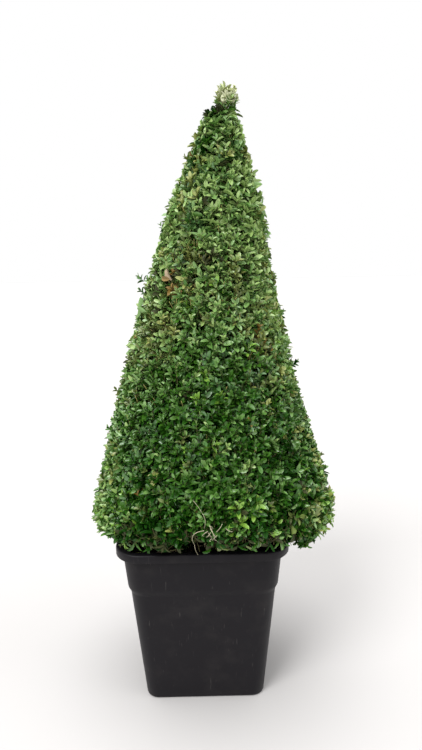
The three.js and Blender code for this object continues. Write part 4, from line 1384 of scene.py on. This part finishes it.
@dataclass
class LooseShoots:
    """The loose, lighter shoots that hang at the lower right."""

    count: int = 145
    leaf_length: float = 21.0 * MM
    spread: float = 0.86
    seed: int = 7

    def build(self, wood: bpy.types.Material) -> None:
        """Builds the loose shoots.

        Args:
            wood: the twigs' finish.
        """
        rng = np.random.default_rng(self.seed)
        middle = math.radians(LOBE.angle)
        heart = CROWN.at(np.array([LOBE.low_z + 0.046]), np.array([middle]),
                         np.array([(LOBE.inner + LOBE.outer) / 2 - 0.006]))
        share = rng.uniform(0.0, 1.0, self.count)
        side = rng.uniform(-self.spread, 1.0, self.count)
        turn = middle + side * math.radians(LOBE.half_angle - 2.0)
        low = LOBE.low_z + 0.012 + 0.008 * side
        z = low + (LOBE.top_z - low) * share
        depth = 0.024 * rng.uniform(0.0, 1.0, self.count) ** 1.4 + 0.007
        tip = CROWN.at(z, turn, LOBE.outer - depth)
        out = np.stack([np.cos(turn), np.sin(turn), 1.3 * share - 0.75], axis=-1)
        out = unit(out + rng.normal(0.0, 0.26, (self.count, 3)))
        bright = [Tint.SPRING, Tint.LIGHT, Tint.MIDDLE, Tint.OLIVE, Tint.YELLOWING, Tint.FOREST]
        dull = [Tint.SHADED, Tint.OLIVE, Tint.DEEP, Tint.FOREST]
        tint = rng.choice([TINTS.index(c) for c in bright], self.count, p=[0.25, 0.18, 0.23, 0.14, 0.08, 0.12])
        # Painted shade: the sprays on the lobe's left side, next to the cone, and more of them higher up, get the
        # dull, dark tints.
        shaded = side < rng.uniform(-0.85, -0.35, self.count) + 0.5 * np.clip(share * 2 - 1.2, 0.0, 1.0)
        worn = rng.uniform(0.0, 1.0, self.count) < 0.35 * np.clip(share * 2 - 0.9, 0.0, 1.0)
        tint[worn] = rng.choice([TINTS.index(c) for c in (Tint.OLIVE, Tint.YELLOWING)], int(worn.sum()))
        tint[shaded] = rng.choice([TINTS.index(c) for c in dull], int(shaded.sum()), p=[0.36, 0.16, 0.3, 0.18])
        # Painted light: the lower sprays on the lobe's outer side get light greens.
        lit = (share < 0.5) & (side > -0.1)
        fresh = [TINTS.index(c) for c in (Tint.LIGHT, Tint.SPRING, Tint.FRESH, Tint.LIGHT, Tint.YELLOWING)]
        tint[lit] = rng.choice(fresh, int(lit.sum()))
        size = self.leaf_length * rng.uniform(0.8, 1.15, self.count)
        sprays = Sprays(tip - out * 0.03, tip, size, tint, younger(tint, 0.5, rng))
        leaves = sprays.leaves(Habit(pairs=4, spacing=7.0 * MM, width_share=0.42), rng)
        leaves = leaves.kept(LOBE.holds(leaves.tips(), 0.001) & LOBE.holds(leaves.root, 0.003))
        leaves = leaves.kept(leaves.tips()[:, 2] > LOBE.low_z + 0.012)
        add_leaves("loose", leaves, ("loose_shoots",))
        grown = sprays.kept(sprays.tip[:, 2] > LOBE.low_z + 0.018)
        count = len(grown.tip)
        start = np.concatenate([grown.start, np.repeat(heart, count, axis=0)])
        end = np.concatenate([grown.tip, grown.start])
        thick = np.concatenate([np.full(count, 0.8 * MM), np.full(count, 1.3 * MM)])
        add_piece("loose_twigs", tapered_rods("loose_twigs", start, end, thick, 0.6), wood,
                  ("loose_shoots",))


@dataclass
class TipTuft:
    """The pale tuft of new growth on the tip."""

    count: int = 30
    leaf_length: float = 16.0 * MM
    seed: int = 19

    def build(self, wood: bpy.types.Material) -> None:
        """Builds the tuft.

        Args:
            wood: the twigs' finish.
        """
        rng = np.random.default_rng(self.seed)
        middle = float(CROWN.axis_x(np.array(CROWN.top_z)))
        foot = np.array([[middle, CROWN.axis_y, TUFT.foot_z - 0.012]])
        turn = np.arange(self.count) * GOLDEN_TURN
        share = (np.arange(self.count) + 0.5) / self.count
        radius = 0.0155 * np.sqrt(1.0 - 0.45 * share)
        z = TUFT.foot_z + 0.006 + (TUFT.top_z - TUFT.foot_z - 0.014) * share
        tip = np.stack([middle + TUFT.shift + radius * np.cos(turn),
                        CROWN.axis_y + radius * np.sin(turn), z], axis=-1)
        start = tip - unit(tip - foot) * 0.02
        pale = (Tint.PALE, Tint.YELLOWING, Tint.PALEST, Tint.LIGHT)
        tints = rng.choice([TINTS.index(t) for t in pale], self.count, p=[0.44, 0.08, 0.36, 0.12])
        low = share < 0.22
        tints[low] = rng.choice([TINTS.index(t) for t in (Tint.MIDDLE, Tint.FRESH)], int(low.sum()))
        size = self.leaf_length * rng.uniform(0.75, 1.15, self.count)
        sprays = Sprays(start, tip, size, tints, younger(tints, 0.6, rng))
        leaves = sprays.leaves(Habit(pairs=3, spacing=5.5 * MM, width_share=0.52), rng)
        leaves = leaves.kept(TUFT.holds(leaves.tips(), 0.002))
        add_leaves("tuft", leaves, ("tip_tuft",))
        ends = np.concatenate([sprays.tip, sprays.start])
        starts = np.concatenate([sprays.start, np.repeat(foot, self.count, axis=0)])
        thick = np.full(2 * self.count, 0.8 * MM)
        add_piece("tuft_twigs", tapered_rods("tuft_twigs", starts, ends, thick, 0.6), wood,
                  ("tip_tuft",))


@dataclass
class BareTwigs:
    """Straw-pale dead twigs that hang out of the foliage at the front, over the rim."""

    count: int = 7
    radius: float = 0.54 * MM
    fine: float = 0.36 * MM
    seed: int = 5
    heart: tuple[float, float, float] = (0.015, -0.197, 0.363)
    tuck: tuple[float, float, float] = (0.0, 0.006, -0.003)
    rim_y: float = -0.150
    clear_of_rim: float = 0.040
    strands: tuple[tuple[tuple[float, float, float], ...], ...] = (
        ((-0.011, -0.195, 0.411), (-0.004, -0.198, 0.404), (0.002, -0.198, 0.392)),
        ((0.002, -0.198, 0.392), (0.009, -0.205, 0.384), (0.004, -0.201, 0.369)),
        ((0.004, -0.203, 0.367), (-0.021, -0.211, 0.368), (-0.0107, -0.192, 0.3385)),
        ((-0.0107, -0.192, 0.3385), (-0.011, -0.170, 0.318), (-0.0066, -0.1434, 0.2955)),
        ((0.0118, -0.203, 0.375), (0.017, -0.206, 0.368), (0.020, -0.205, 0.352)),
        ((0.0135, -0.204, 0.371), (0.015, -0.207, 0.366), (0.0215, -0.205, 0.357)),
        ((0.022, -0.200, 0.363), (0.028, -0.204, 0.370), (0.031, -0.202, 0.377)),
        ((0.036, -0.202, 0.369), (0.042, -0.203, 0.364), (0.046, -0.200, 0.363)),
        ((0.021, -0.200, 0.350), (0.030, -0.190, 0.336), (0.0275, -0.172, 0.317)),
    )

    def tucked(self, point: Array) -> Array:
        """Draws a point back towards the leaves, fully where it hangs clear of the rim."""
        share = float(np.clip((self.rim_y - point[1]) / self.clear_of_rim, 0.0, 1.0))
        return point + share * np.array(self.tuck)

    def build(self, straw: bpy.types.Material) -> None:
        """Builds the bare twigs.

        Args:
            straw: their finish.
        """
        rng = np.random.default_rng(self.seed)
        points = []
        faces: list[list[Array]] = [[], []]
        base = 0
        strands = [tuple(self.tucked(np.array(point)) for point in strand) for strand in self.strands]
        for _ in range(self.count):
            start = np.array(self.heart) + rng.normal(0.0, 1.0, 3) * (0.005, 0.002, 0.006)
            fall = np.array([rng.normal(0.0, 0.005), rng.normal(0.002, 0.003), -rng.uniform(0.004, 0.012)])
            bend = start + fall * 0.5 + rng.normal(0.0, 0.005, 3)
            strands.append((start, bend, start + fall))
        for start, bend, end in strands:
            path = bezier(start, bend, end, 9)
            thick = np.linspace(1.0, 0.75, 9) * (self.fine if start[2] > 0.385 else self.radius)
            ring, blocks = bent_tube(path, thick, 5)
            points.append(ring)
            for kind, block in enumerate(blocks):
                faces[kind].append(block + base)
            base += len(ring)
        mesh = mesh_from("bare_twigs", np.concatenate(points), [np.concatenate(f) for f in faces])
        add_piece("bare_twigs", mesh, straw, ())


# Trunk and boughs

@dataclass
class Limbs:
    """The short trunk with its root flare, and the boughs from its fork, in barked wood."""

    foot: tuple[float, float, float] = (0.005, 0.003, 0.2683)
    tip: tuple[float, float, float] = (0.017, 0.008, 0.334)
    radius: float = 0.012
    tip_radius: float = 0.0085
    flare: float = 0.009
    flare_length: float = 0.2
    lobes: int = 5
    lobe_depth: float = 0.16
    fork_share: float = 0.42
    bough_radius: float = 0.0062
    bough_tip_radius: float = 0.0042
    bough_reach: float = 0.062
    bough_rise: float = 0.064
    sides: int = 30
    seed: int = 3
    angles: dict[str, float] = field(default_factory=lambda: {
        "bough_left": 196.0, "bough_back": 102.0, "bough_front": 276.0,
    })

    def relief(self, rows: int, rng: np.random.Generator) -> Array:
        """Makes the bark's ridges, as shares of the radius.

        Args:
            rows: how many rings the limb has.
            rng: the seeded source of chance.

        Returns:
            One factor for each ring and side.
        """
        grain = rng.normal(0.0, 1.0, (rows, self.sides))
        along = (grain + np.roll(grain, 1, axis=0) + np.roll(grain, 2, axis=0)) / 3
        return 1.0 + 0.045 * along

    def trunk_path(self, steps: int) -> Array:
        """Gives the trunk's middle line."""
        foot = np.array(self.foot)
        tip = np.array(self.tip)
        bend = np.array([foot[0], foot[1], (foot[2] + tip[2]) / 2])
        return bezier(foot, bend, tip, steps)

    def bough_path(self, name: str, steps: int) -> Array:
        """Gives a bough's middle line.

        Args:
            name: the bough's name.
            steps: how many points.

        Returns:
            The points.
        """
        if name == "bough_low_right":
            fork = self.trunk_path(101)[round((self.fork_share - 0.06) * 100)]
            angle = np.array(math.radians(LOBE.angle))
            tip = CROWN.at(np.array(LOBE.low_z + 0.034), angle, np.array(LOBE.inner - 0.008))
            bend = fork + (tip - fork) * 0.55
            bend[2] = POT.height + 0.017
            return bezier(fork, bend, tip, steps)
        fork = self.trunk_path(101)[round(self.fork_share * 100)]
        angle = math.radians(self.angles[name])
        out = np.array([math.cos(angle), math.sin(angle), 0.0])
        tip = fork + out * self.bough_reach + UP * self.bough_rise
        bend = fork + out * self.bough_reach * 0.62 + UP * self.bough_rise * 0.3
        return bezier(fork, bend, tip, steps)

    def build(self, bark: bpy.types.Material) -> None:
        """Builds the trunk and the boughs.

        Args:
            bark: their finish.
        """
        rng = np.random.default_rng(self.seed)
        rows = 40
        share = np.linspace(0.0, 1.0, rows)[:, None]
        angle = np.arange(self.sides) / self.sides * 2 * math.pi
        taper = self.radius + (self.tip_radius - self.radius) * share
        taper = taper + self.flare * np.exp(-share / self.flare_length)
        fluted = 1.0 + self.lobe_depth * np.cos(self.lobes * angle)[None, :] * (1 - share) ** 2
        points, faces = bent_tube(self.trunk_path(rows), taper * fluted * self.relief(rows, rng), self.sides)
        add_piece("trunk_bark", mesh_from("trunk_bark", points, faces), bark, ("trunk",))
        tips = {name: self.bough_tip_radius for name in self.angles}
        tips["bough_low_right"] = 0.0036
        for name, tip_radius in tips.items():
            radii = np.linspace(self.bough_radius, tip_radius, rows)[:, None] * self.relief(rows, rng)
            points, faces = bent_tube(self.bough_path(name, rows), radii, self.sides)
            piece = f"{name}_bark"
            add_piece(piece, mesh_from(piece, points, faces), bark, (name,))


# Pot and compost

@dataclass
class Pot:
    """The moulded pot, with its edges rounded and its drain holes and foot notches cut."""

    corner_points: int = 14
    side_points: int = 6
    wall_bow: float = 0.0012
    drain_radius: float = 0.007
    drain_ring: float = 0.066
    drain_count: int = 8
    notch: tuple[float, float, float] = (0.008, 0.016, 0.0044)
    notch_offsets: tuple[float, float] = (-0.009, 0.007)

    def rim(self, half: float, z: float) -> tuple[float, float, float]:
        """Gives a row of the profile on the rim."""
        return half, z, POT.rim_corner - (POT.rim_half - half)

    def rows(self) -> list[tuple[float, float, float]]:
        """Lists the profile from the middle of the underside, over the rim, to the inside floor.

        Returns:
            Half widths, heights and corner radii.
        """
        rows = [(0.0, 0.0, 0.0)]
        for degrees in range(0, 91, 30):
            angle = math.radians(degrees)
            z = POT.base_round * (1 - math.cos(angle))
            half = POT.half(0.0) - POT.base_round * (1 - math.sin(angle)) + POT.taper * z
            rows.append((half, z, POT.base_corner - POT.base_round * (1 - math.sin(angle))))
        lip_low = POT.height - POT.lip_drop
        roof = POT.height - POT.rim_thick
        walls = list(np.linspace(0.02, POT.shoulder_low, 8))
        walls += list(np.linspace(POT.shoulder_low, POT.shoulder_high, 8)[1:])
        walls += list(np.linspace(POT.shoulder_high, lip_low, 5)[1:])
        rows += [(POT.half(z), z, POT.corner(z)) for z in walls]
        rows.append((POT.half(roof), roof, POT.corner(roof)))
        skin = POT.rim_half - POT.wall
        rows.append(self.rim(skin, roof))
        rows.append(self.rim(skin, lip_low + 0.0006))
        rows.append(self.rim(skin + 0.0006, lip_low))
        rows.append(self.rim(POT.rim_half - 0.0006, lip_low))
        rows.append(self.rim(POT.rim_half, lip_low + 0.0008))
        for degrees in range(0, 91, 18):
            angle = math.radians(degrees)
            half = POT.rim_half - POT.rim_round * (1 - math.cos(angle))
            rows.append(self.rim(half, POT.height - POT.rim_round * (1 - math.sin(angle))))
        inside = POT.half(POT.height) - POT.wall
        rows.append((inside + 0.002, POT.height, POT.corner(POT.height) - POT.wall + 0.002))
        rows.append((inside + 0.0005, POT.height - 0.0008, POT.corner(POT.height) - POT.wall))
        for z in reversed(walls):
            rows.append((POT.half(z) - POT.wall, z, POT.corner(z) - POT.wall))
        rows.append((POT.half(0.0) - POT.wall, POT.wall, POT.base_corner - POT.wall))
        rows.append((0.0, POT.wall, 0.0))
        return rows

    def outline(self, half: float, corner: float, bow: float) -> Array:
        """Gives one ring of the pot.

        Args:
            half: half the width.
            corner: the corner radius.
            bow: how far the middle of each side stands out.

        Returns:
            Points in the plane, anticlockwise.
        """
        points = []
        for quarter in range(4):
            turn = quarter * math.pi / 2
            flat = half - corner
            for step in range(self.corner_points):
                angle = math.pi / 2 * step / (self.corner_points - 1)
                points.append((turn, flat + corner * math.cos(angle), flat + corner * math.sin(angle)))
            for step in range(1, self.side_points + 1):
                share = step / (self.side_points + 1)
                out = half + bow * math.sin(math.pi * share)
                points.append((turn, flat - 2 * flat * share, out))
        return np.array([
            (x * math.cos(turn) - y * math.sin(turn), x * math.sin(turn) + y * math.cos(turn))
            for turn, x, y in points
        ])

    def shell(self) -> bpy.types.Mesh:
        """Makes the pot's shell.

        Returns:
            The mesh, before its holes are cut.
        """
        rows = self.rows()
        count = 4 * (self.corner_points + self.side_points)
        points = [np.array([[0.0, 0.0, rows[0][1]]])]
        for half, z, corner in rows[1:-1]:
            share = z / POT.height
            bow = self.wall_bow * math.sin(math.pi * share) if half < POT.half(POT.height) else 0.0
            ring = self.outline(half, max(corner, 0.001), bow)
            points.append(np.column_stack([ring, np.full(count, z)]))
        points.append(np.array([[0.0, 0.0, rows[-1][1]]]))
        rings = len(rows) - 2
        quads = []
        triangles = []
        for row in range(rings - 1):
            for side in range(count):
                far = (side + 1) % count
                near = 1 + row * count
                quads.append((near + side, near + far, near + count + far, near + count + side))
        last = 1 + (rings - 1) * count
        for side in range(count):
            far = (side + 1) % count
            triangles.append((0, 1 + far, 1 + side))
            triangles.append((last + count, last + side, last + far))
        return mesh_from("pot_shell", np.concatenate(points), [np.array(quads), np.array(triangles)])

    def cutters(self) -> list[bpy.types.Object]:
        """Makes the solids that cut the drain holes and the foot notches.

        Returns:
            One object for each cut.
        """
        cuts = []
        for hole in range(self.drain_count):
            angle = (hole + 0.5) / self.drain_count * 2 * math.pi
            middle = np.array([self.drain_ring * math.cos(angle), self.drain_ring * math.sin(angle), 0.0])
            path = middle + np.outer(np.array([-0.01, 0.0, 0.01]), UP)
            points, faces = bent_tube(path, np.full(3, self.drain_radius), 24)
            cuts.append(mesh_from(f"drain_{hole}", points, faces, smooth=False))
        wide, deep, high = self.notch
        corners = np.array([(x, y, z) for x in (-1, 1) for y in (-1, 1) for z in (-1, 1)]) / 2
        box = np.array([(0, 1, 3, 2), (4, 6, 7, 5), (0, 4, 5, 1), (2, 3, 7, 6), (0, 2, 6, 4), (1, 5, 7, 3)])
        for side in range(4):
            turn = side * math.pi / 2
            spin = np.array([[math.cos(turn), math.sin(turn), 0.0],
                             [-math.sin(turn), math.cos(turn), 0.0], [0.0, 0.0, 1.0]])
            for offset in self.notch_offsets:
                place = corners * (wide, deep, high) + np.array([offset, -POT.base_half, 0.0])
                cuts.append(mesh_from(f"notch_{side}", place @ spin, [box], smooth=False))
        return [bpy.data.objects.new(mesh.name, mesh) for mesh in cuts]

    def build(self, plastic: bpy.types.Material) -> None:
        """Builds the pot.

        Args:
            plastic: its finish.
        """
        scene = bpy.context.scene
        blank = bpy.data.objects.new("pot_blank", self.shell())
        scene.collection.objects.link(blank)
        group = bpy.data.collections.new("pot_cuts")
        cutters = self.cutters()
        for cutter in cutters:
            group.objects.link(cutter)
        scene.collection.children.link(group)
        cut = blank.modifiers.new("cuts", "BOOLEAN")
        cut.operation = "DIFFERENCE"
        cut.operand_type = "COLLECTION"
        cut.collection = group
        cut.solver = "EXACT"
        graph = bpy.context.evaluated_depsgraph_get()
        mesh = bpy.data.meshes.new_from_object(blank.evaluated_get(graph))
        blank.modifiers.clear()
        for spare in [blank, *cutters]:
            bpy.data.objects.remove(spare)
        bpy.data.collections.remove(group)
        mesh.set_sharp_from_angle(angle=math.radians(38))
        add_piece("pot_shell", mesh, plastic, ("pot",))


@dataclass
class Compost:
    """The compost: a lumpy surface a little below the rim, with loose crumbs on it."""

    top: float = 0.268
    edge: float = 0.262
    level_radius: float = 0.046
    gap: float = 0.0003
    cells: int = 64
    seed: int = 11
    crumbs_per_area: float = 26000.0

    def heights(self, radius: Array, rng: np.random.Generator) -> Array:
        """Gives the surface's height, with lumps.

        Args:
            radius: how far out each point is, as a half width.
            rng: the seeded source of chance.

        Returns:
            The heights.
        """
        inside = POT.half(self.edge) - POT.wall - self.gap
        share = np.clip((radius - self.level_radius) / (inside - self.level_radius), 0.0, 1.0)
        lumps = rng.normal(0.0, 0.0009, radius.shape) * (radius > self.level_radius * 0.6)
        return self.top + (self.edge - self.top) * share + np.minimum(lumps, 0.0015)

    def body(self) -> bpy.types.Mesh:
        """Makes the compost's surface and its sides down to the pot's floor.

        Returns:
            The mesh.
        """
        rng = np.random.default_rng(self.seed)
        pot = Pot()
        count = 4 * (pot.corner_points + pot.side_points)
        inside = POT.wall + self.gap
        points = [np.array([[0.0, 0.0, inside]])]
        for z in (inside, 0.1, POT.shoulder_low, POT.shoulder_high, self.edge):
            ring = pot.outline(POT.half(z) - inside, POT.corner(z) - inside, 0.0)
            points.append(np.column_stack([ring, np.full(count, z)]))
        outer = pot.outline(POT.half(self.edge) - inside, POT.corner(self.edge) - inside, 0.0)
        steps = 26
        for step in range(1, steps):
            share = 1 - step / steps
            ring = outer * share
            size = np.max(np.abs(ring), axis=1)
            points.append(np.column_stack([ring, self.heights(size, rng)]))
        points.append(np.array([[0.0, 0.0, self.top]]))
        rings = 5 + steps - 1
        quads = []
        triangles = []
        for row in range(rings - 1):
            for side in range(count):
                far = (side + 1) % count
                near = 1 + row * count
                quads.append((near + side, near + far, near + count + far, near + count + side))
        last = 1 + (rings - 1) * count
        for side in range(count):
            far = (side + 1) % count
            triangles.append((0, 1 + far, 1 + side))
            triangles.append((last + count, last + side, last + far))
        return mesh_from("compost_body", np.concatenate(points), [np.array(quads), np.array(triangles)])

    def scatter_tree(self) -> bpy.types.NodeTree:
        """Builds the node tree that strews crumbs over a surface.

        Returns:
            The tree, with inputs for the crumb, the density, the sizes, the seed and the finish.
        """
        tree = bpy.data.node_groups.new("strewn_crumbs", "GeometryNodeTree")
        inputs = (("Surface", "NodeSocketGeometry"), ("Crumb", "NodeSocketObject"),
                  ("Density", "NodeSocketFloat"), ("Smallest", "NodeSocketFloat"),
                  ("Largest", "NodeSocketFloat"), ("Seed", "NodeSocketInt"),
                  ("Finish", "NodeSocketMaterial"))
        for name, kind in inputs:
            tree.interface.new_socket(name, in_out="INPUT", socket_type=kind)
        tree.interface.new_socket("Crumbs", in_out="OUTPUT", socket_type="NodeSocketGeometry")
        given = add_node(tree, "NodeGroupInput").outputs
        spots = add_node(
            tree, "GeometryNodeDistributePointsOnFaces", None,
            {"Mesh": given["Surface"], "Density": given["Density"], "Seed": given["Seed"]},
        )
        crumb = add_node(tree, "GeometryNodeObjectInfo", None, {"Object": given["Crumb"]})
        spin = add_node(
            tree, "FunctionNodeRandomValue",
            {"data_type": "FLOAT_VECTOR", 1: (math.tau, math.tau, math.tau)}, {"Seed": given["Seed"]},
        )
        size = add_node(
            tree, "FunctionNodeRandomValue", {"data_type": "FLOAT"},
            {2: given["Smallest"], 3: given["Largest"], "Seed": given["Seed"]},
        )
        placed = add_node(
            tree, "GeometryNodeInstanceOnPoints", None,
            {"Points": spots.outputs["Points"], "Instance": crumb.outputs["Geometry"],
             "Rotation": spin.outputs[0], "Scale": size.outputs[1]},
        )
        real = add_node(tree, "GeometryNodeRealizeInstances", None, {0: placed.outputs[0]})
        dressed = add_node(
            tree, "GeometryNodeSetMaterial", None,
            {"Geometry": real.outputs[0], "Material": given["Finish"]},
        )
        add_node(tree, "NodeGroupOutput", None, {0: dressed.outputs[0]})
        return tree

    def crumbs(self, earth: bpy.types.Material) -> bpy.types.Mesh:
        """Strews crumbs over the compost's upper face.

        Args:
            earth: their finish.

        Returns:
            The crumbs as a plain mesh.
        """
        half = POT.half(self.edge) - POT.wall - 0.006
        side = np.linspace(-half, half, 12)
        x, y = np.meshgrid(side, side)
        z = np.full(x.shape, self.edge + 0.003)
        z[np.hypot(x, y) < 0.07] = self.top - 0.001
        points = np.stack([x, y, z], axis=-1).reshape(-1, 3)
        row, col = np.meshgrid(np.arange(11), np.arange(11), indexing="ij")
        start = row * 12 + col
        quads = np.stack([start, start + 1, start + 13, start + 12], axis=-1).reshape(-1, 4)
        bed = bpy.data.objects.new("crumb_bed", mesh_from("crumb_bed", points, [quads]))
        shape = np.array([(1, 0, 0), (-1, 0, 0), (0, 0.8, 0), (0, -0.8, 0), (0, 0, 0.6), (0, 0, -0.6)])
        upper = [(0, 2, 4), (2, 1, 4), (1, 3, 4), (3, 0, 4)]
        faces = np.array(upper + [(two, one, 5) for one, two, _ in upper])
        crumb = bpy.data.objects.new("crumb", mesh_from("crumb", shape, [faces], smooth=False))
        for spare in (bed, crumb):
            bpy.context.scene.collection.objects.link(spare)
        tree = self.scatter_tree()
        modifier = bed.modifiers.new("crumbs", "NODES")
        modifier.node_group = tree
        values = {"Crumb": crumb, "Density": self.crumbs_per_area, "Smallest": 0.5 * MM,
                  "Largest": 2.4 * MM, "Seed": self.seed, "Finish": earth}
        for socket in tree.interface.items_tree:
            if socket.name in values and socket.in_out == "INPUT":
                modifier[socket.identifier] = values[socket.name]
        graph = bpy.context.evaluated_depsgraph_get()
        mesh = bpy.data.meshes.new_from_object(bed.evaluated_get(graph))
        bed.modifiers.clear()
        for spare in (bed, crumb):
            bpy.data.objects.remove(spare)
        return mesh

    def fallen(self, rng: np.random.Generator) -> Leaves:
        """Lays fallen leaves on the compost.

        Args:
            rng: the seeded source of chance.

        Returns:
            The leaves.
        """
        count = 90
        half = POT.half(self.edge) - POT.wall - 0.016
        root = np.column_stack([rng.uniform(-half, half, count), rng.uniform(-half, half, count),
                                rng.uniform(self.top + 0.001, self.top + 0.003, count)])
        turn = rng.uniform(0.0, math.tau, count)
        along = unit(np.column_stack([np.cos(turn), np.sin(turn), rng.uniform(-0.05, 0.25, count)]))
        normal = unit(UP - along * along[:, 2:3] + rng.normal(0.0, 0.15, (count, 3)))
        normal = unit(normal - along * np.sum(normal * along, axis=1)[:, None])
        choices = [TINTS.index(t) for t in (Tint.DRY, Tint.OLIVE, Tint.BROWN, Tint.YELLOWING)]
        length = rng.uniform(0.012, 0.019, count)
        return Leaves(root, along, normal, length, length * 0.5, rng.uniform(0.6, 1.6, count),
                      rng.choice(choices, count, p=[0.35, 0.3, 0.2, 0.15]))

    def build(self, earth: bpy.types.Material) -> None:
        """Builds the compost, its crumbs and the fallen leaves.

        Args:
            earth: the compost's finish.
        """
        add_piece("compost_body", self.body(), earth, ("compost",))
        add_piece("compost_crumbs", self.crumbs(earth), earth, ("compost",))
        add_leaves("fallen", self.fallen(np.random.default_rng(self.seed)), ())


# Studio

@dataclass
class Studio:
    """A plain pale floor under soft light, and the camera at the photograph's place and angle."""

    floor_colour: str = "bbb9b8"
    camera_place: tuple[float, float, float] = (0.0112, -1.0469, 0.7948)
    camera_turn: float = -0.0082
    tilt_down: float = 13.01
    roll: float = -0.99
    focal_pixels: float = 630.0
    image_height: float = 750.0
    sensor: float = 36.0

    def floor(self) -> None:
        """Lays the floor."""
        material = bpy.data.materials.new("painted_studio_floor")
        material.use_nodes = True
        tree = material.node_tree
        shader = tree.nodes["Principled BSDF"]
        shader.inputs["Base Color"].default_value = linear(self.floor_colour)
        shader.inputs["Roughness"].default_value = 0.9
        shader.inputs["Specular IOR Level"].default_value = 0.1
        size = 9.0
        corners = np.array([(-size, -size, 0), (size, -size, 0), (size, size, 0), (-size, size, 0)])
        mesh = mesh_from("studio_floor", corners, [np.array([(0, 1, 2, 3)])], smooth=False)
        mesh.materials.append(material)
        floor = bpy.data.objects.new("studio_floor", mesh)
        bpy.context.scene.collection.objects.link(floor)

    def soft_light(self, name: str, place: Vector, spread: float, strength: float) -> None:
        """Hangs a wide, even light that faces the plant.

        Args:
            name: the light's name.
            place: where it hangs.
            spread: the angle that it fills, in degrees.
            strength: its strength in watts on a square metre.
        """
        light = bpy.data.lights.new(name, "SUN")
        light.angle = math.radians(spread)
        light.energy = strength
        lamp = bpy.data.objects.new(name, light)
        lamp.location = place
        aim = Vector((0.0, 0.0, 0.5)) - place
        lamp.rotation_euler = aim.to_track_quat("-Z", "Y").to_euler()
        bpy.context.scene.collection.objects.link(lamp)

    def build(self) -> None:
        """Builds the floor, the lights, the surroundings and the camera."""
        scene = bpy.context.scene
        self.floor()
        world = bpy.data.worlds.new("studio")
        world.use_nodes = True
        world.node_tree.nodes["Background"].inputs["Color"].default_value = (1.0, 1.0, 1.0, 1.0)
        world.node_tree.nodes["Background"].inputs["Strength"].default_value = 1.0
        scene.world = world
        self.soft_light("key_light", Vector((-1.2, -1.6, 2.6)), 26.0, 2.3)
        self.soft_light("side_light", Vector((2.2, -0.4, 1.6)), 50.0, 0.9)
        self.soft_light("top_light", Vector((-0.2, 0.3, 3.0)), 50.0, 1.7)
        scene.view_settings.view_transform = "Standard"
        lens = bpy.data.cameras.new("camera")
        lens.sensor_width = self.sensor
        lens.lens = self.focal_pixels / self.image_height * self.sensor
        lens.clip_start = 0.01
        camera = bpy.data.objects.new("camera", lens)
        scene.collection.objects.link(camera)
        camera.matrix_world = (
            Matrix.Translation(self.camera_place)
            @ Matrix.Rotation(self.camera_turn, 4, "Z")
            @ Matrix.Rotation(math.radians(90.0 - self.tilt_down), 4, "X")
            @ Matrix.Rotation(math.radians(self.roll), 4, "Z")
        )
        scene.camera = camera


LEAF_MATERIALS = {tint: tint.value.material() for tint in TINTS}
# Steps of green from shaded to light. A step darker paints shade on the leaves deep in each spray and darkens
# single leaves at random; a step lighter marks new growth at the tips and lightens single leaves at random.
GREEN_STEPS = (Tint.SHADED, Tint.DEEP, Tint.FOREST, Tint.MIDDLE, Tint.FRESH, Tint.LIGHT)
YOUNGER = np.arange(len(TINTS))
YOUNGER[[TINTS.index(tint) for tint in GREEN_STEPS[:-1]]] = [TINTS.index(tint) for tint in GREEN_STEPS[1:]]
STEP_DARKER = np.arange(len(TINTS))
STEP_DARKER[[TINTS.index(tint) for tint in GREEN_STEPS[1:]]] = [TINTS.index(tint) for tint in GREEN_STEPS[:-1]]


def main() -> None:
    """Builds the plant, its pot and the studio."""
    logging.basicConfig(level=logging.INFO, format="%(message)s")
    bark = WoodFinish("boxwood_bark", "8d7c62", "3a2e20").material()
    green_wood = WoodFinish("boxwood_young_twig", "7b7a45", "4a4526", 3.0 * MM).material()
    tan_wood = WoodFinish("boxwood_clipped_twig", "a8a052", "6b6636", 3.0 * MM, 0.75).material()
    straw = WoodFinish("boxwood_dead_twig", "cac5a9", "958f74", 3.0 * MM, 0.7).material()
    # The inner thatch stands for the dense twigs; its dark greens are painted shade of the deep inside of the bush.
    inner = EarthFinish("boxwood_inner_thatch", "0c2a04", "245010", 9.0 * MM, 6.0 * MM).material()
    earth = EarthFinish("peat_compost_moist", "17100a", "4b3826").material()
    Studio().build()
    Pot().build(PotPlastic().material())
    Compost().build(earth)
    Limbs().build(bark)
    Crown().build(green_wood, tan_wood, inner)
    LooseShoots().build(green_wood)
    TipTuft().build(green_wood)
    BareTwigs().build(straw)


if __name__ == "__main__":
    main()
